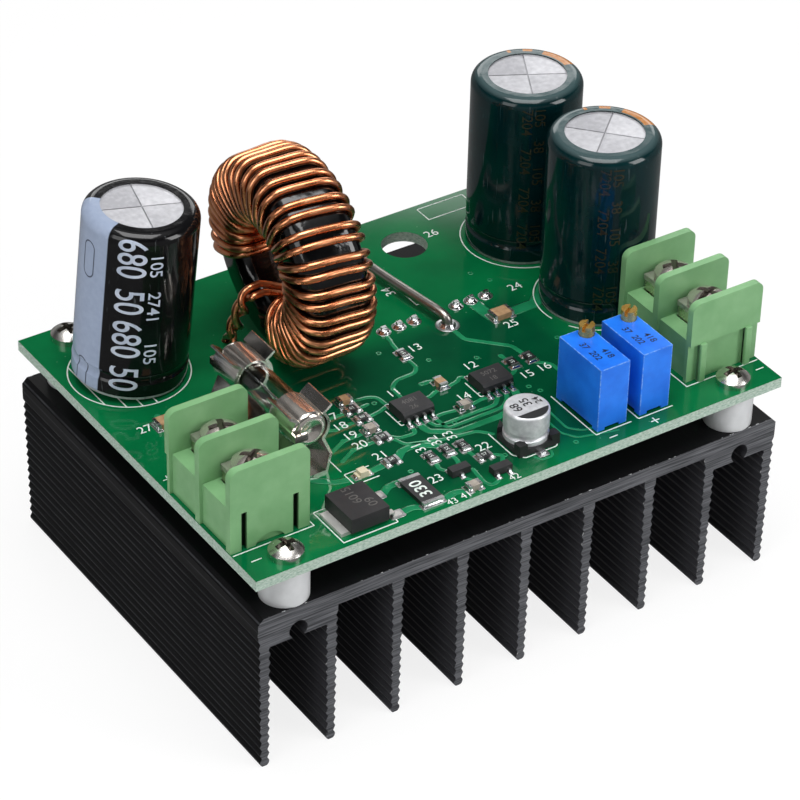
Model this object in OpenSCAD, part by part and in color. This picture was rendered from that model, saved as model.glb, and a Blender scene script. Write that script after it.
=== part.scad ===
// Step-up converter module: a circuit board on four standoffs over a finned heatsink,
// with capacitors, a ring inductor, a fuse in clips, two barrier terminal blocks and two trimmers.
// Frame: X across the fins, Y along the fins, Z up, origin under the middle of the fin tips.

/* [Heatsink] */
// Width across the fins
heatsink_width = 84.4; // [76:0.2:100]
// Length along the fins
heatsink_length = 63; // [62:0.5:80]
// Height from the fin tips to the top face
heatsink_height = 25; // [18:0.5:40]
// Number of fins
fin_count = 9; // [7:1:10]
// Fin thickness over the ridges at the root
fin_root = 1.9; // [1.7:0.1:2.4]
// Fin thickness over the ridges at the tip
fin_tip = 1.4; // [1.2:0.05:1.6]
// Width of the flat land on each fin tip
tip_land = 0.6; // [0.4:0.1:0.9]
// Plate thickness over the inner bays
base_thickness = 2.4; // [2:0.1:3.5]
// Plate thickness over the two outer bays
outer_base_thickness = 5; // [4.6:0.1:6]
// Spacing of the ridges on the fins
ridge_pitch = 1.4; // [1.2:0.1:2.4]
// Depth of the grooves between the ridges
ridge_depth = 0.3; // [0.15:0.05:0.4]
// Diameter of the screw channel in each outer bay
channel_diameter = 2.8; // [2.4:0.1:3]
// Width of the slot that opens the channel downward
channel_slot = 1.8; // [1:0.1:1.9]
// Metal left above the screw channel
channel_cover = 2.5; // [2.2:0.1:3]
// Chamfer along the long top edges
edge_chamfer = 0.8; // [0.3:0.1:1.2]

/* [Board] */
// Board width
board_width = 85; // [84:0.5:100]
// Overhang of the board beyond each sawn end of the heatsink
board_overhang = 0; // [0:0.1:1]
// Board depth, along the heatsink and with the overhang at both ends
board_depth = heatsink_length + 2 * board_overhang;
// Board thickness
board_thickness = 1.6; // [1:0.1:2.4]
// Corner screws, inset from the side edges
corner_inset_x = 6.3; // [5:0.1:8]
// Corner screws, inset from the front and back edges
corner_inset_y = 2.9; // [2.8:0.1:3.4]
// Height of the standoffs
standoff_height = 5; // [4.9:0.1:12]
// Diameter of the standoffs
standoff_diameter = 6.8; // [5:0.1:7.4]
// Bore of the standoffs, loose on the screws
standoff_bore = 3.7; // [3.6:0.1:4.4]
// How far the loose standoffs sit inward of their screws
standoff_shift = 0.5; // [0:0.1:0.5]
// Thread diameter of the corner screws
board_screw = 2.5; // [2:0.1:3]
// Length of the corner screws below the head
board_screw_length = 8; // [7.4:0.1:8.2]
// Head diameter of the corner screws
board_screw_head = 4.8; // [4:0.1:6]
// Head height of the corner screws
board_screw_head_height = 1.9; // [1.4:0.1:2.4]
// Diameter of the screwdriver access holes
access_hole = 6.8; // [5.6:0.1:7.4]

/* [Electrolytic capacitors] */
// Diameter over the sleeve
capacitor_diameter = 16; // [14:0.5:16.5]
// Height of the input capacitor
input_capacitor_height = 26.2; // [16:0.2:35]
// Height of the output capacitors
output_capacitor_height = 27.2; // [16:0.2:35]
// Lean of the input capacitor
input_capacitor_lean = 5; // [0:0.5:7]
// Direction the input capacitor leans to
input_capacitor_lean_to = -27; // [-90:1:90]
// Wall of the shrink sleeve
sleeve_wall = 0.2; // [0.1:0.05:0.3]
// Radius of the can shoulder
shoulder_radius = 1.3; // [1:0.1:2.5]
// Diameter of the bare disc on top
bare_disc = 11.2; // [9:0.1:11.4]
// Depth of the crimped groove near the foot
crimp_depth = 0.3; // [0.2:0.1:0.8]
// Lead spacing
capacitor_lead_pitch = 7.5; // [5:0.5:8]
// Lead diameter
capacitor_lead = 0.8; // [0.6:0.1:1]

/* [Inductor] */
// Outer diameter of the ring core
core_outer = 28.8; // [26:0.2:29.4]
// Inner diameter of the ring core
core_inner = 14; // [13.8:0.1:16]
// Length of the ring core along its axis
core_length = 9.9; // [8:0.1:11]
// Edge radius of the ring core
core_edge = 1.2; // [0.6:0.1:2]
// Wire diameter over the enamel
wire = 0.96; // [0.6:0.02:1]
// Turns of each of the two wires
turns = 17; // [8:1:17]
// Where the winding starts, from the back
winding_from = -20; // [-30:1:0]
// Arc covered by the winding
winding_arc = 284; // [200:1:288]
// Spread between the two wires of a pair outside the ring
pair_spread = 6.8; // [5:0.1:8]
// Slant of the wires across the outside of the ring
wire_slant = 5; // [0:0.5:7]
// Lean of the ring toward the input side
inductor_lean = 5; // [0:0.5:6]
// Turn of the ring seen from above
inductor_turn = -3; // [-6:0.5:6]

/* [Fuse] */
// Length of the fuse
fuse_length = 20; // [19:0.1:21]
// Diameter of the end caps
fuse_cap = 5.2; // [5:0.05:5.4]
// Length of the end caps
fuse_cap_length = 5.8; // [4:0.1:6.4]
// Wall of the end caps
fuse_cap_wall = 0.25; // [0.15:0.05:0.4]
// Wall of the glass tube
fuse_glass_wall = 0.45; // [0.3:0.05:0.8]
// Diameter of the fuse wire
fuse_wire_size = 0.3; // [0.15:0.05:0.6]
// Height of the fuse axis above the board
fuse_height = 7.8; // [6.6:0.1:10]
// Sheet thickness of the clips
clip_sheet = 0.4; // [0.3:0.05:0.6]
// Length of each clip along the fuse
clip_length = 5.6; // [4:0.1:6]
// Half angle of the arc with which each arm holds the cap
clip_grip = 46; // [35:1:55]
// Length of the flared lips
clip_lip = 1.5; // [0.8:0.1:2]
// Distance of each solder foot from the fuse axis
clip_foot = 2.6; // [2.2:0.1:3.2]
// Distance of each knee from the fuse axis
clip_knee = 3.2; // [2.8:0.1:3.4]

/* [Terminal blocks] */
// Spacing of the poles
pole_pitch = 7.62; // [7.4:0.01:8]
// Thickness of the barriers
barrier_thickness = 1.1; // [0.8:0.1:1.3]
// Height of the barriers
barrier_height = 12.9; // [11.8:0.1:16]
// Depth of the block across the wires
block_depth = 12; // [11:0.1:12.5]
// Height of the shelves the wires lie on
shelf_height = 6.3; // [5.4:0.1:6.8]
// Setback of the shelves behind the barrier edges
shelf_setback = 0.5; // [0.2:0.1:1]
// Corner radius on top of the barriers
barrier_radius = 1.3; // [0.5:0.1:2]
// Distance of the blocks from the board edge
block_edge_gap = 0.1; // [0:0.1:1]
// Thread diameter of the clamp screws
clamp_screw = 2.9; // [2.5:0.1:3.2]
// Head diameter of the clamp screws
clamp_head = 5.6; // [5:0.1:6]
// Head height of the clamp screws
clamp_head_height = 2.2; // [1.6:0.1:2.6]
// Length of the clamp screws below the head
clamp_screw_length = 7.2; // [6:0.1:7.4]
// Side of the square clamp plates
clamp_plate = 5.9; // [5:0.1:6]
// Thickness of clamp plates and contacts
contact_sheet = 0.8; // [0.6:0.1:1]
// Rise of the contact above the shelf
contact_rise = 1.6; // [1:0.1:2]
// Diameter of the solder pins
terminal_pin = 1.2; // [1:0.1:1.4]

/* [Trimmers] */
// Length of the trimmer body
trimmer_length = 9.53; // [9:0.01:10]
// Width of the trimmer body
trimmer_width = 4.83; // [4.5:0.01:5.2]
// Height of the trimmer body
trimmer_height = 10.03; // [8:0.01:12]
// Distance of the adjusting screw from the two nearest sides
trimmer_screw_inset = 1.27; // [1.25:0.01:2]
// Diameter of the adjusting screw
trimmer_screw = 2.19; // [1.8:0.01:2.3]
// Height of the adjusting screw above the body
trimmer_screw_proud = 1.52; // [0.8:0.01:2]
// Height of the moulded feet
trimmer_foot = 0.4; // [0.2:0.1:0.8]
// Spacing of the pins
trimmer_pin_pitch = 2.54; // [2.5:0.01:2.6]
// Diameter of the pins
trimmer_pin = 0.5; // [0.4:0.05:0.7]

/* [Small parts] */
// Side of the small can capacitor base
small_base = 6.6; // [6.4:0.1:6.8]
// Diameter of the small can
small_can = 6.3; // [5:0.1:6.3]
// Height of the small capacitor above the board
small_can_height = 5.4; // [4:0.1:8]
// Length of the eight-lead circuits
circuit_length = 4.9; // [4.8:0.1:5.2]
// Body width of the eight-lead circuits
circuit_width = 3.9; // [3.6:0.1:4.2]
// Body height of the eight-lead circuits
circuit_height = 1.45; // [1.1:0.05:1.8]
// Lead spacing of the eight-lead circuits
circuit_pitch = 1.27; // [1.2:0.01:1.3]
// Reach of the circuit leads from the body
circuit_reach = 1.05; // [0.9:0.05:1.2]
// Length of the chip resistors and capacitors
chip_length = 2; // [1.6:0.1:2.2]
// Width of the chip resistors and capacitors
chip_width = 1.25; // [0.8:0.05:1.4]
// Height of the chip resistors
chip_resistor_height = 0.5; // [0.3:0.05:0.7]
// Height of the chip capacitors
chip_capacitor_height = 0.9; // [0.5:0.05:1.3]
// Length of the metal chip ends
chip_end = 0.4; // [0.2:0.05:0.5]
// Diameter of the shunt wire
shunt_size = 1.4; // [0.8:0.1:1.6]

/* [Power devices] */
// Width of the power devices
device_width = 10; // [9.6:0.1:10.4]
// Length of the tab with its hole
device_tab_length = 15.5; // [15:0.1:16]
// Thickness of the tab
device_tab = 1.3; // [1.1:0.05:1.4]
// Length of the moulded body
device_body_length = 9.2; // [8.6:0.1:9.4]
// Thickness over tab and body
device_thickness = 4.4; // [4.2:0.05:4.5]
// Distance of the tab hole from the tab end
device_hole_inset = 2.8; // [2.6:0.1:3]
// Lead spacing
device_pitch = 2.54; // [2.5:0.01:2.6]
// Thickness of the insulating pads
pad_thickness = 0.3; // [0.1:0.05:0.35]
// Thread diameter of the fixing screws
device_screw = 3; // [2.5:0.1:3.2]

/* [Placement on the board] */
// Input capacitor
input_capacitor_at = [-33, 17.1]; // [-40:0.1:40]
// Rear output capacitor
output_rear_at = [32.4, 17]; // [-40:0.1:40]
// Front output capacitor
output_front_at = [32.4, -1.5]; // [-40:0.1:40]
// Inductor
inductor_at = [-11.5, 9.6]; // [-40:0.1:40]
// Middle of the fuse
fuse_at = [-25, -6.8]; // [-40:0.1:40]
// Middle of the input block along the board edge
input_block_y = -16.9; // [-20:0.1:20]
// Middle of the output block along the board edge
output_block_y = -17.8; // [-20:0.1:20]
// Middle of the current trimmer
current_trimmer_at = [15.7, -23.6]; // [-40:0.1:40]
// Middle of the voltage trimmer
voltage_trimmer_at = [22.8, -23.6]; // [-40:0.1:40]
// Small can capacitor
small_can_at = [4.25, -24.4]; // [-40:0.1:40]
// Controller
controller_at = [-5.4, -11.3]; // [-40:0.1:40]
// Amplifier
amplifier_at = [7.5, -11.5]; // [-40:0.1:40]
// Small regulator with a tab
regulator_at = [-24.3, -26.9]; // [-40:0.1:40]
// Large chip resistor
power_resistor_at = [-14.3, -26.9]; // [-40:0.1:40]
// Indicator lamp
lamp_at = [-18.8, -19.7]; // [-40:0.1:40]
// Tab hole of the power transistor
mosfet_hole_at = [4.4, 23.6]; // [-40:0.1:40]
// Tab hole of the power diode
diode_hole_at = [16.6, 23.6]; // [-40:0.1:40]

/* [Hidden] */
$fn = 48;

// Clearances
seat_gap = 0.02;
running_gap = 0.05;
hole_gap = 0.2;
cut = 1;

// Levels
board_bottom = heatsink_height + standoff_height;
board_top = board_bottom + board_thickness;
lead_stub = 1.2;
lead_bottom = -board_thickness - lead_stub;

// Heatsink
fin_pitch = (heatsink_width - fin_root) / (fin_count - 1);
fin_height = heatsink_height - base_thickness;
tip_round = fin_tip / 2;
tip_center = sqrt(pow(tip_round, 2) - pow(tip_land / 2, 2));
ridges = floor((fin_height - tip_center) / ridge_pitch);
outer_bay_x = heatsink_width / 2 - fin_root / 2 - fin_pitch / 2;
channel_z = heatsink_height - channel_cover - channel_diameter / 2;
screw_hole_floor = 0.4;

// Size of the board that the places are drawn on
drawn_width = 85;
drawn_depth = 63;

// Corners
corner_x = board_width / 2 - corner_inset_x;
corner_y = heatsink_length / 2 - corner_inset_y;
corners = [for (x = [-1, 1], y = [-1, 1]) [x * corner_x, y * corner_y]];

// Places on the board, spread with its size and kept clear of their neighbours
part_gap = 0.1;
function spread(at) = [at.x * board_width / drawn_width, at.y * board_depth / drawn_depth];
block_length = 2 * pole_pitch + barrier_thickness;
block_x = board_width / 2 - block_edge_gap - block_depth / 2;
block_front = -corner_y + board_screw_head / 2 + part_gap + block_length / 2;
input_block_place = [-block_x, max(block_front, spread([0, input_block_y]).y)];
output_block_place = [block_x, max(block_front, spread([0, output_block_y]).y)];
input_capacitor_place = spread(input_capacitor_at);
block_rear = output_block_place.y + block_length / 2;
output_front_place = [
    spread(output_front_at).x,
    max(block_rear + part_gap + capacitor_diameter / 2, spread(output_front_at).y)
];
output_rear_y = max(output_front_place.y + capacitor_diameter + part_gap, spread(output_rear_at).y);
screw_reach = capacitor_diameter / 2 + board_screw_head / 2 + part_gap;
screw_aside = sqrt(max(0, pow(screw_reach, 2) - pow(corner_y - output_rear_y, 2)));
output_rear_place = [min(spread(output_rear_at).x, corner_x - screw_aside), output_rear_y];
inductor_place = spread(inductor_at);
input_block_face = input_block_place.x + block_depth / 2;
clip_reach = max(clip_knee, clip_foot) + clip_sheet / 2;
fuse_place = [max(input_block_face + part_gap + clip_reach, spread(fuse_at).x), spread(fuse_at).y];
current_trimmer_place = spread(current_trimmer_at);
voltage_trimmer_place = spread(voltage_trimmer_at);
small_can_place = spread(small_can_at);
controller_place = spread(controller_at);
amplifier_place = spread(amplifier_at);
power_resistor_place = spread(power_resistor_at);
lamp_place = spread(lamp_at);
mosfet_place = spread(mosfet_hole_at);
diode_place = mosfet_place + diode_hole_at - mosfet_hole_at;
device_places = [mosfet_place, diode_place];

// Screw heads: straight share of the height, length of the cross as a share of the head
head_rim = 0.45;
head_cross = 0.62;
head_cross_depth = 1.1;
board_cross_width = 0.8;
device_cross_width = 0.9;
input_slot_turns = [35, 70];
output_slot_turns = [20, 60];
trimmer_slot_turn = 30;

// Power devices, lying on the heatsink with their leads bent up through the board
device_z = heatsink_height + pad_thickness;
device_lead_width = 0.8;
device_lead_thickness = 0.5;
device_lead_rise = 2.5;
device_lead_reach = 4.3;
device_lead_top = 0.9;
device_hole = 3.7;
device_end_y = device_hole_inset - device_tab_length;
device_lead_y = device_end_y - device_lead_reach;
pad_border = 0.6;
device_head = 5.4;
device_head_height = 1.9;

// Capacitors
can_radius = capacitor_diameter / 2 - sleeve_wall - seat_gap;
crimp_radius = 1.6;
crimp_height = 3.2;
sleeve_foot = 0.5;
score_width = 0.2;
score_depth = 0.15;
score_length = 11;
input_score_turn = 13;
rear_score_turn = -28;
front_score_turn = -48;
lean_lift = capacitor_diameter / 2 * sin(input_capacitor_lean) + running_gap;
rear_lead_angle = 0;
front_lead_angle = 0;
input_lead_angle = 90;

// Inductor
wire_gap = 0.06;
wire_off = wire_gap + wire / 2;
wire_sides = 6;
layer_step = 0.72 * wire;
turn_pitch = winding_arc / turns;
core_half = core_length / 2;
corner_steps = [15, 45, 75];
lean_rise = (core_half + wire_off) * sin(inductor_lean);
coil_center = [
    inductor_place.x,
    inductor_place.y,
    board_top + core_outer / 2 + wire_gap + wire + lean_rise
];
// Hand-chosen middle lines of the two pairs of leads, from the middle of the ring and above the board
start_lead_line = [[7.8, 6.6, 12], [7.8, 6.4, 6], [7.8, 6.4, 1], [7.8, 6.4, 0]];
end_lead_line = [[-4.3, 1.4, 12], [-6.3, 1.4, 11.4], [-6.4, 2.4, 8.7], [-6.4, 4, 4.9],
    [-6.4, 5.4, 1.8], [-6.4, 5.8, 0]];
lead_origin = [inductor_place.x, inductor_place.y, board_top];
lead_twists = 2;
lead_steps = 4;
lead_spread = 0.7;
foot_spread = [0, 1, 0];
start_spread = [0.9, 0, 0];
start_stagger = [0.3, 0, 1.6];
twist_lean = 30;

// Fuse
cap_bore = fuse_cap / 2 - fuse_cap_wall;
glass_outer = cap_bore - seat_gap;
glass_inner = glass_outer - fuse_glass_wall;
cap_dimple = 3.2;
cap_dimple_depth = 0.25;
clip_radius = fuse_cap / 2 + seat_gap;
clip_knee_height = 2.9;
lip_angle = 38;
arc_seat = 0.85;
stop_height = 1.1;
stop_reach = 2;
stop_gap = 0.4;
clip_inset = 0.1;
clip_pin = 0.9;
clip_pin_inset = 0.6;
front_clip_y = fuse_place.y - fuse_length / 2 + clip_inset;
rear_clip_y = fuse_place.y + fuse_length / 2 - clip_inset - clip_length;

// Terminal blocks
poles = [-1, 1];
barriers = [-1, 0, 1];
contact_half_x = 2.9;
contact_half_y = 2.75;
pocket_gap = 0.15;
pocket_floor = 3.3;
contact_top = shelf_height + contact_rise;
plate_bottom = contact_top + running_gap;
plate_top = plate_bottom + contact_sheet;
head_bottom = plate_top + running_gap;
screw_well = head_bottom - clamp_screw_length - cut / 2;
end_slot_width = 0.85;
end_slot_height = 6;
end_slot_x = 3.9;
end_slot_depth = 0.95;
arch_radius = 2.6;
arch_rise = 1.3;
arch_depth = 0.4;
rib_height = 6.1;
rib_recess = 0.5;
rib_width = 1;
slot_width = 0.9;
slot_depth = 0.9;
cross_length = 3.4;

// Trimmers
trimmer_bore_depth = 3;
trimmer_slot = 0.5;
trimmer_slot_depth = 0.7;
trimmer_foot_size = 1.2;
screw_offset = [trimmer_width / 2 - trimmer_screw_inset, trimmer_length / 2 - trimmer_screw_inset];

// Small can capacitor
small_plate = 0.9;
small_post = 1.8;
small_window = 4;
small_corner = 1.3;
small_lead_width = 0.8;
small_lead_reach = 0.9;
small_lead_sheet = 0.3;
small_shoulder = 0.4;
small_crimp = 0.6;
small_crimp_depth = 0.3;
small_crimp_height = 1.1;

// Circuits and chips
lead_sheet = 0.2;
lead_width = 0.42;
body_lift = 0.12;
circuit_foot = 0.55;
circuit_lead_steps = [-1.5, -0.5, 0.5, 1.5];
circuit_lead_z = 0.65;
circuit_draft = 0.15;
circuit_bevel = 0.35;
transistors_at = [[-7.7, -26.1, 0], [-2.8, -28.7, 180]];
transistor_size = [2.9, 1.3, 1];
transistor_reach = 0.55;
transistor_foot = 0.3;
transistor_pitch = 0.95;
chip_resistors_at = [
    [-3.95, -21.5, 90], [-6.3, -21.2, 90], [-9, -21.4, 90], [1, 0.4, 90], [12.7, -9.2, 90],
    [15.5, -9.3, 90], [-2.8, -24.9, 0], [-13.9, -19.3, 0], [-12.1, -14.3, 0], [-12, -9.2, 0],
    [-12.1, -6.8, 0]
];
chip_capacitors_at = [
    [-12, -4.7, 0, 1], [-12.5, -12, 0, 1], [1.3, -14.2, 0, 1], [-7.9, -29.8, 0, 1],
    [1.4, -8.2, 90, 1], [18.1, 1.3, 0, 1.6], [-35, 3.8, 0, 1.6]
];
regulator_size = [5.8, 6.5, 2.2];
regulator_tab_reach = 1.2;
regulator_tab_width = 5.2;
regulator_sheet = 0.5;
regulator_lead_reach = 2.4;
regulator_lead_pitch = 2.3;
regulator_lead_width = 0.8;
regulator_reach = regulator_size.x / 2 + regulator_tab_reach;
regulator_place = [
    max(input_block_face + part_gap + regulator_reach, spread(regulator_at).x),
    spread(regulator_at).y
];
resistor_size = [3.2, 6.3, 0.65];
resistor_end = 0.6;
lamp_size = [2, 1.25, 0.4];
lamp_lens = [1.2, 1.25, 0.5];
// Hand-chosen line of the shunt wire, from the tab hole of the power transistor and above the board
shunt_line = [[6, -20.3, lead_bottom], [6, -20.3, 0], [6, -20.3, 0.6], [5.9, -19.9, 1.2],
    [5.7, -19, 1.5], [5, -14.9, 1.6], [3.6, -4.5, 1.6], [3.4, 1.4, 1.5], [3.3, 2.2, 1.2],
    [3.2, 2.6, 0.6], [3.2, 2.6, 0], [3.2, 2.6, lead_bottom]];
shunt_sides = 12;

// Round leads that pass through the board: x, y, diameter
function pair_leads(at, angle) = [
    for (s = [-1, 1]) [
        at.x + s * capacitor_lead_pitch / 2 * cos(angle),
        at.y + s * capacitor_lead_pitch / 2 * sin(angle),
        capacitor_lead
    ]
];
function clip_pins(y) = [
    for (s = [-1, 1]) [fuse_place.x + s * (clip_foot - clip_pin_inset), y + clip_length / 2, clip_pin]
];
function block_pins(at, side) = [
    for (s = poles) [at.x + side * contact_pin_x, at.y + s * pole_pitch / 2, terminal_pin]
];
function trimmer_pin_places(at) = [
    for (k = [-1, 0, 1]) [at.x, at.y + k * trimmer_pin_pitch, trimmer_pin]
];
function line_end(line, apart) = [
    for (s = [-1, 1])
        let (foot = line[len(line) - 1] + s * apart + lead_origin)
            [foot.x, foot.y, wire]
];
contact_pin_x = contact_half_x - contact_sheet / 2;
input_pins = pair_leads(input_capacitor_place, input_lead_angle);
rear_pins = pair_leads(output_rear_place, rear_lead_angle);
front_pins = pair_leads(output_front_place, front_lead_angle);
start_pins = line_end(start_lead_line, start_spread);
end_pins = line_end(end_lead_line, foot_spread);
fuse_pins = concat(clip_pins(front_clip_y), clip_pins(rear_clip_y));
terminal_pins = concat(block_pins(input_block_place, 1), block_pins(output_block_place, -1));
trimmer_leads = concat(trimmer_pin_places(current_trimmer_place), trimmer_pin_places(voltage_trimmer_place));
shunt_pins = [
    for (k = [0, len(shunt_line) - 1])
        [mosfet_place.x + shunt_line[k].x, mosfet_place.y + shunt_line[k].y, shunt_size]
];
device_leads = [
    for (at = device_places, k = [-1, 0, 1])
        [at.x + k * device_pitch, at.y + device_lead_y, device_lead_width]
];
round_pins = concat(input_pins, rear_pins, front_pins, start_pins, end_pins, fuse_pins,
    terminal_pins, trimmer_leads, shunt_pins);
solder_wide = 0.6;
solder_high = 0.5;

// Box between two opposite corners
module box(from, to) {
    translate(from)
        cube(to - from);
}

// Moves its children to a place on the board top
module on_board(at) {
    translate([at.x, at.y, board_top])
        children();
}

// Flat strip between two points of a section, with round ends
module strip(from, to, sheet, near_end = 1) {
    span = to - from;
    translate(from)
        rotate(atan2(span.y, span.x))
            translate([0, -sheet / 2])
                square([norm(span), sheet]);
    translate(from)
        circle(d = sheet * near_end);
    translate(to)
        circle(d = sheet);
}

// Section of a round body with a rounded shoulder, right of the axis
module shoulder_section(radius, high, shoulder) {
    square([radius, high - shoulder]);
    square([radius - shoulder, high]);
    translate([radius - shoulder, high - shoulder])
        circle(r = shoulder);
}

// Screw with a domed head, seen from the seat of its head
module screw(size, length, head, head_height) {
    rim = head_height * head_rim;
    dome = head_height - rim;
    dome_radius = (pow(head / 2, 2) + pow(dome, 2)) / (2 * dome);
    rotate_extrude() {
        square([head / 2, rim]);
        intersection() {
            translate([0, head_height - dome_radius])
                circle(r = dome_radius, $fn = 96);
            square([head / 2, head_height]);
        }
    }
    translate([0, 0, -length])
        cylinder(h = length + rim, d = size);
}

// Cross recess cut from the top of a head
module cross_recess(long, wide, deep, top) {
    for (angle = [0, 90])
        rotate(angle)
            box([-long / 2, -wide / 2, top - deep], [long / 2, wide / 2, top + cut]);
}

// One ridged fin, its tip on the ground line
module fin_section() {
    half_slope = (fin_root - fin_tip) / 2 / fin_height;
    side = [
        for (k = [0 : 2 * ridges])
            let (z = tip_center + k * ridge_pitch / 2)
                [fin_tip / 2 + half_slope * z - (k % 2) * ridge_depth, z]
    ];
    last = len(side) - 1;
    polygon(concat(
        side,
        [[fin_root / 2, heatsink_height - base_thickness / 2]],
        [[-fin_root / 2, heatsink_height - base_thickness / 2]],
        [for (k = [0 : last]) [-side[last - k].x, side[last - k].y]]
    ));
    intersection() {
        translate([0, tip_center])
            circle(r = tip_round);
        translate([-fin_tip, 0])
            square([2 * fin_tip, tip_center + tip_round]);
    }
}

// Plate section with chamfered long edges
module plate_section() {
    half = heatsink_width / 2;
    polygon([
        [-half, heatsink_height - base_thickness],
        [half, heatsink_height - base_thickness],
        [half, heatsink_height - edge_chamfer],
        [half - edge_chamfer, heatsink_height],
        [-half + edge_chamfer, heatsink_height],
        [-half, heatsink_height - edge_chamfer]
    ]);
}

module heatsink_section() {
    difference() {
        union() {
            plate_section();
            for (k = [0 : fin_count - 1])
                translate([-heatsink_width / 2 + fin_root / 2 + k * fin_pitch, 0])
                    fin_section();
            for (s = [-1, 1])
                translate([s * outer_bay_x - fin_pitch / 2, heatsink_height - outer_base_thickness])
                    square([fin_pitch, outer_base_thickness - edge_chamfer]);
        }
        for (s = [-1, 1])
            translate([s * outer_bay_x, channel_z]) {
                circle(d = channel_diameter);
                translate([-channel_slot / 2, -outer_base_thickness])
                    square([channel_slot, outer_base_thickness]);
            }
    }
}

module heatsink() {
    color("#26282a")
        difference() {
            translate([0, heatsink_length / 2, 0])
                rotate([90, 0, 0])
                    linear_extrude(heatsink_length)
                        heatsink_section();
            for (at = corners)
                translate([at.x, at.y, board_top - board_screw_length - screw_hole_floor])
                    cylinder(h = heatsink_height, d = board_screw + 2 * seat_gap);
            for (at = device_places)
                translate([at.x, at.y, heatsink_height - base_thickness - cut])
                    cylinder(h = base_thickness + 2 * cut, d = device_screw + 2 * seat_gap);
        }
}

module standoffs() {
    color("#e9ebe6")
        for (at = corners)
            translate([at.x, at.y - sign(at.y) * standoff_shift, heatsink_height])
                difference() {
                    cylinder(h = standoff_height, d = standoff_diameter);
                    translate([0, 0, -cut])
                        cylinder(h = standoff_height + 2 * cut, d = standoff_bore);
                }
}

module board_screws() {
    color("#c9ccd0")
        for (at = corners)
            on_board(at)
                difference() {
                    screw(board_screw, board_screw_length, board_screw_head, board_screw_head_height);
                    cross_recess(board_screw_head * head_cross, board_cross_width, head_cross_depth,
                        board_screw_head_height);
                }
}

module circuit_board() {
    color("#1f7a48")
        difference() {
            translate([-board_width / 2, -board_depth / 2, board_bottom])
                cube([board_width, board_depth, board_thickness]);
            for (at = corners)
                board_hole(at, board_screw + 2 * hole_gap);
            for (at = device_places)
                board_hole(at, access_hole);
            for (pin = concat(round_pins, device_leads))
                board_hole(pin, pin[2] + 2 * hole_gap);
        }
}

module board_hole(at, size) {
    translate([at.x, at.y, board_bottom - cut])
        cylinder(h = board_thickness + 2 * cut, d = size);
}

// Round pins from under the board to a height above it
module pins(places, top) {
    for (pin = places)
        on_board(pin)
            translate([0, 0, lead_bottom])
                cylinder(h = top - lead_bottom, d = pin[2]);
}

// Can outline with the crimped groove near its foot
module can_section(radius, high, shoulder, groove) {
    difference() {
        shoulder_section(radius, high, shoulder);
        translate([can_radius + crimp_radius - crimp_depth, crimp_height])
            circle(r = groove);
    }
}

module capacitor_can(high, turn) {
    difference() {
        rotate_extrude($fn = 96)
            can_section(can_radius, high, shoulder_radius, crimp_radius);
        rotate(turn)
            cross_recess(score_length, score_width, score_depth, high);
    }
}

module capacitor_sleeve(high) {
    outside = capacitor_diameter / 2;
    rotate_extrude($fn = 96)
        difference() {
            can_section(outside, high + sleeve_wall, shoulder_radius + sleeve_wall,
                crimp_radius - sleeve_wall - seat_gap);
            can_section(can_radius + seat_gap, high + seat_gap, shoulder_radius + seat_gap,
                crimp_radius - seat_gap);
            square([bare_disc / 2, high + cut]);
            square([outside + cut, sleeve_foot]);
        }
}

module leaning() {
    on_board(input_capacitor_place)
        translate([0, 0, lean_lift])
            rotate([0, 0, input_capacitor_lean_to])
                rotate([0, input_capacitor_lean, 0])
                    children();
}

module input_capacitor_can() {
    color("#c3c6c8") {
        leaning()
            capacitor_can(input_capacitor_height - sleeve_wall, input_score_turn);
        pins(input_pins, 2 * lean_lift + cut);
    }
}

module input_capacitor_sleeve() {
    color("#1d1e22")
        leaning()
            capacitor_sleeve(input_capacitor_height - sleeve_wall);
}

module output_capacitor_rear_can() {
    color("#c3c6c8") {
        on_board(output_rear_place)
            capacitor_can(output_capacitor_height - sleeve_wall, rear_score_turn);
        pins(rear_pins, cut);
    }
}

module output_capacitor_rear_sleeve() {
    color("#12413f")
        on_board(output_rear_place)
            capacitor_sleeve(output_capacitor_height - sleeve_wall);
}

module output_capacitor_front_can() {
    color("#c3c6c8") {
        on_board(output_front_place)
            capacitor_can(output_capacitor_height - sleeve_wall, front_score_turn);
        pins(front_pins, cut);
    }
}

module output_capacitor_front_sleeve() {
    color("#12413f")
        on_board(output_front_place)
            capacitor_sleeve(output_capacitor_height - sleeve_wall);
}

// Point of the ring frame, axis along X, placed on the board with its lean and turn
function placed(p) =
    let (
        x = p.x * cos(inductor_lean) - p.z * sin(inductor_lean),
        z = p.x * sin(inductor_lean) + p.z * cos(inductor_lean)
    )
    coil_center + [
        x * cos(inductor_turn) - p.y * sin(inductor_turn),
        x * sin(inductor_turn) + p.y * cos(inductor_turn),
        z
    ];
function on_ring(x, radius, angle) = placed([x, radius * cos(angle), radius * sin(angle)]);

// Angle of a wire inside and outside the ring; the second wire of a pair lies on the first inside
function inner_angle(k, w) = winding_from + turn_pitch * (k + w / 2);
function outer_angle(k, w) = winding_from + turn_pitch * (k + 0.5) + pair_spread * (w - 0.5);
function inner_depth(w) = core_edge + wire_off + w * layer_step;

// Quarter bends round the four edges of the core
function inner_bend(side, w, angle, steps) = [
    for (a = steps) on_ring(
        side * (core_half - core_edge + (core_edge + wire_off) * sin(a)),
        core_inner / 2 + core_edge - inner_depth(w) * cos(a),
        angle
    )
];
function outer_bend(side, angle, steps) = [
    for (a = steps) on_ring(
        side * (core_half - core_edge + (core_edge + wire_off) * cos(a)),
        core_outer / 2 - core_edge + (core_edge + wire_off) * sin(a),
        angle
    )
];
function reversed(list) = [for (k = [len(list) - 1 : -1 : 0]) list[k]];

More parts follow.
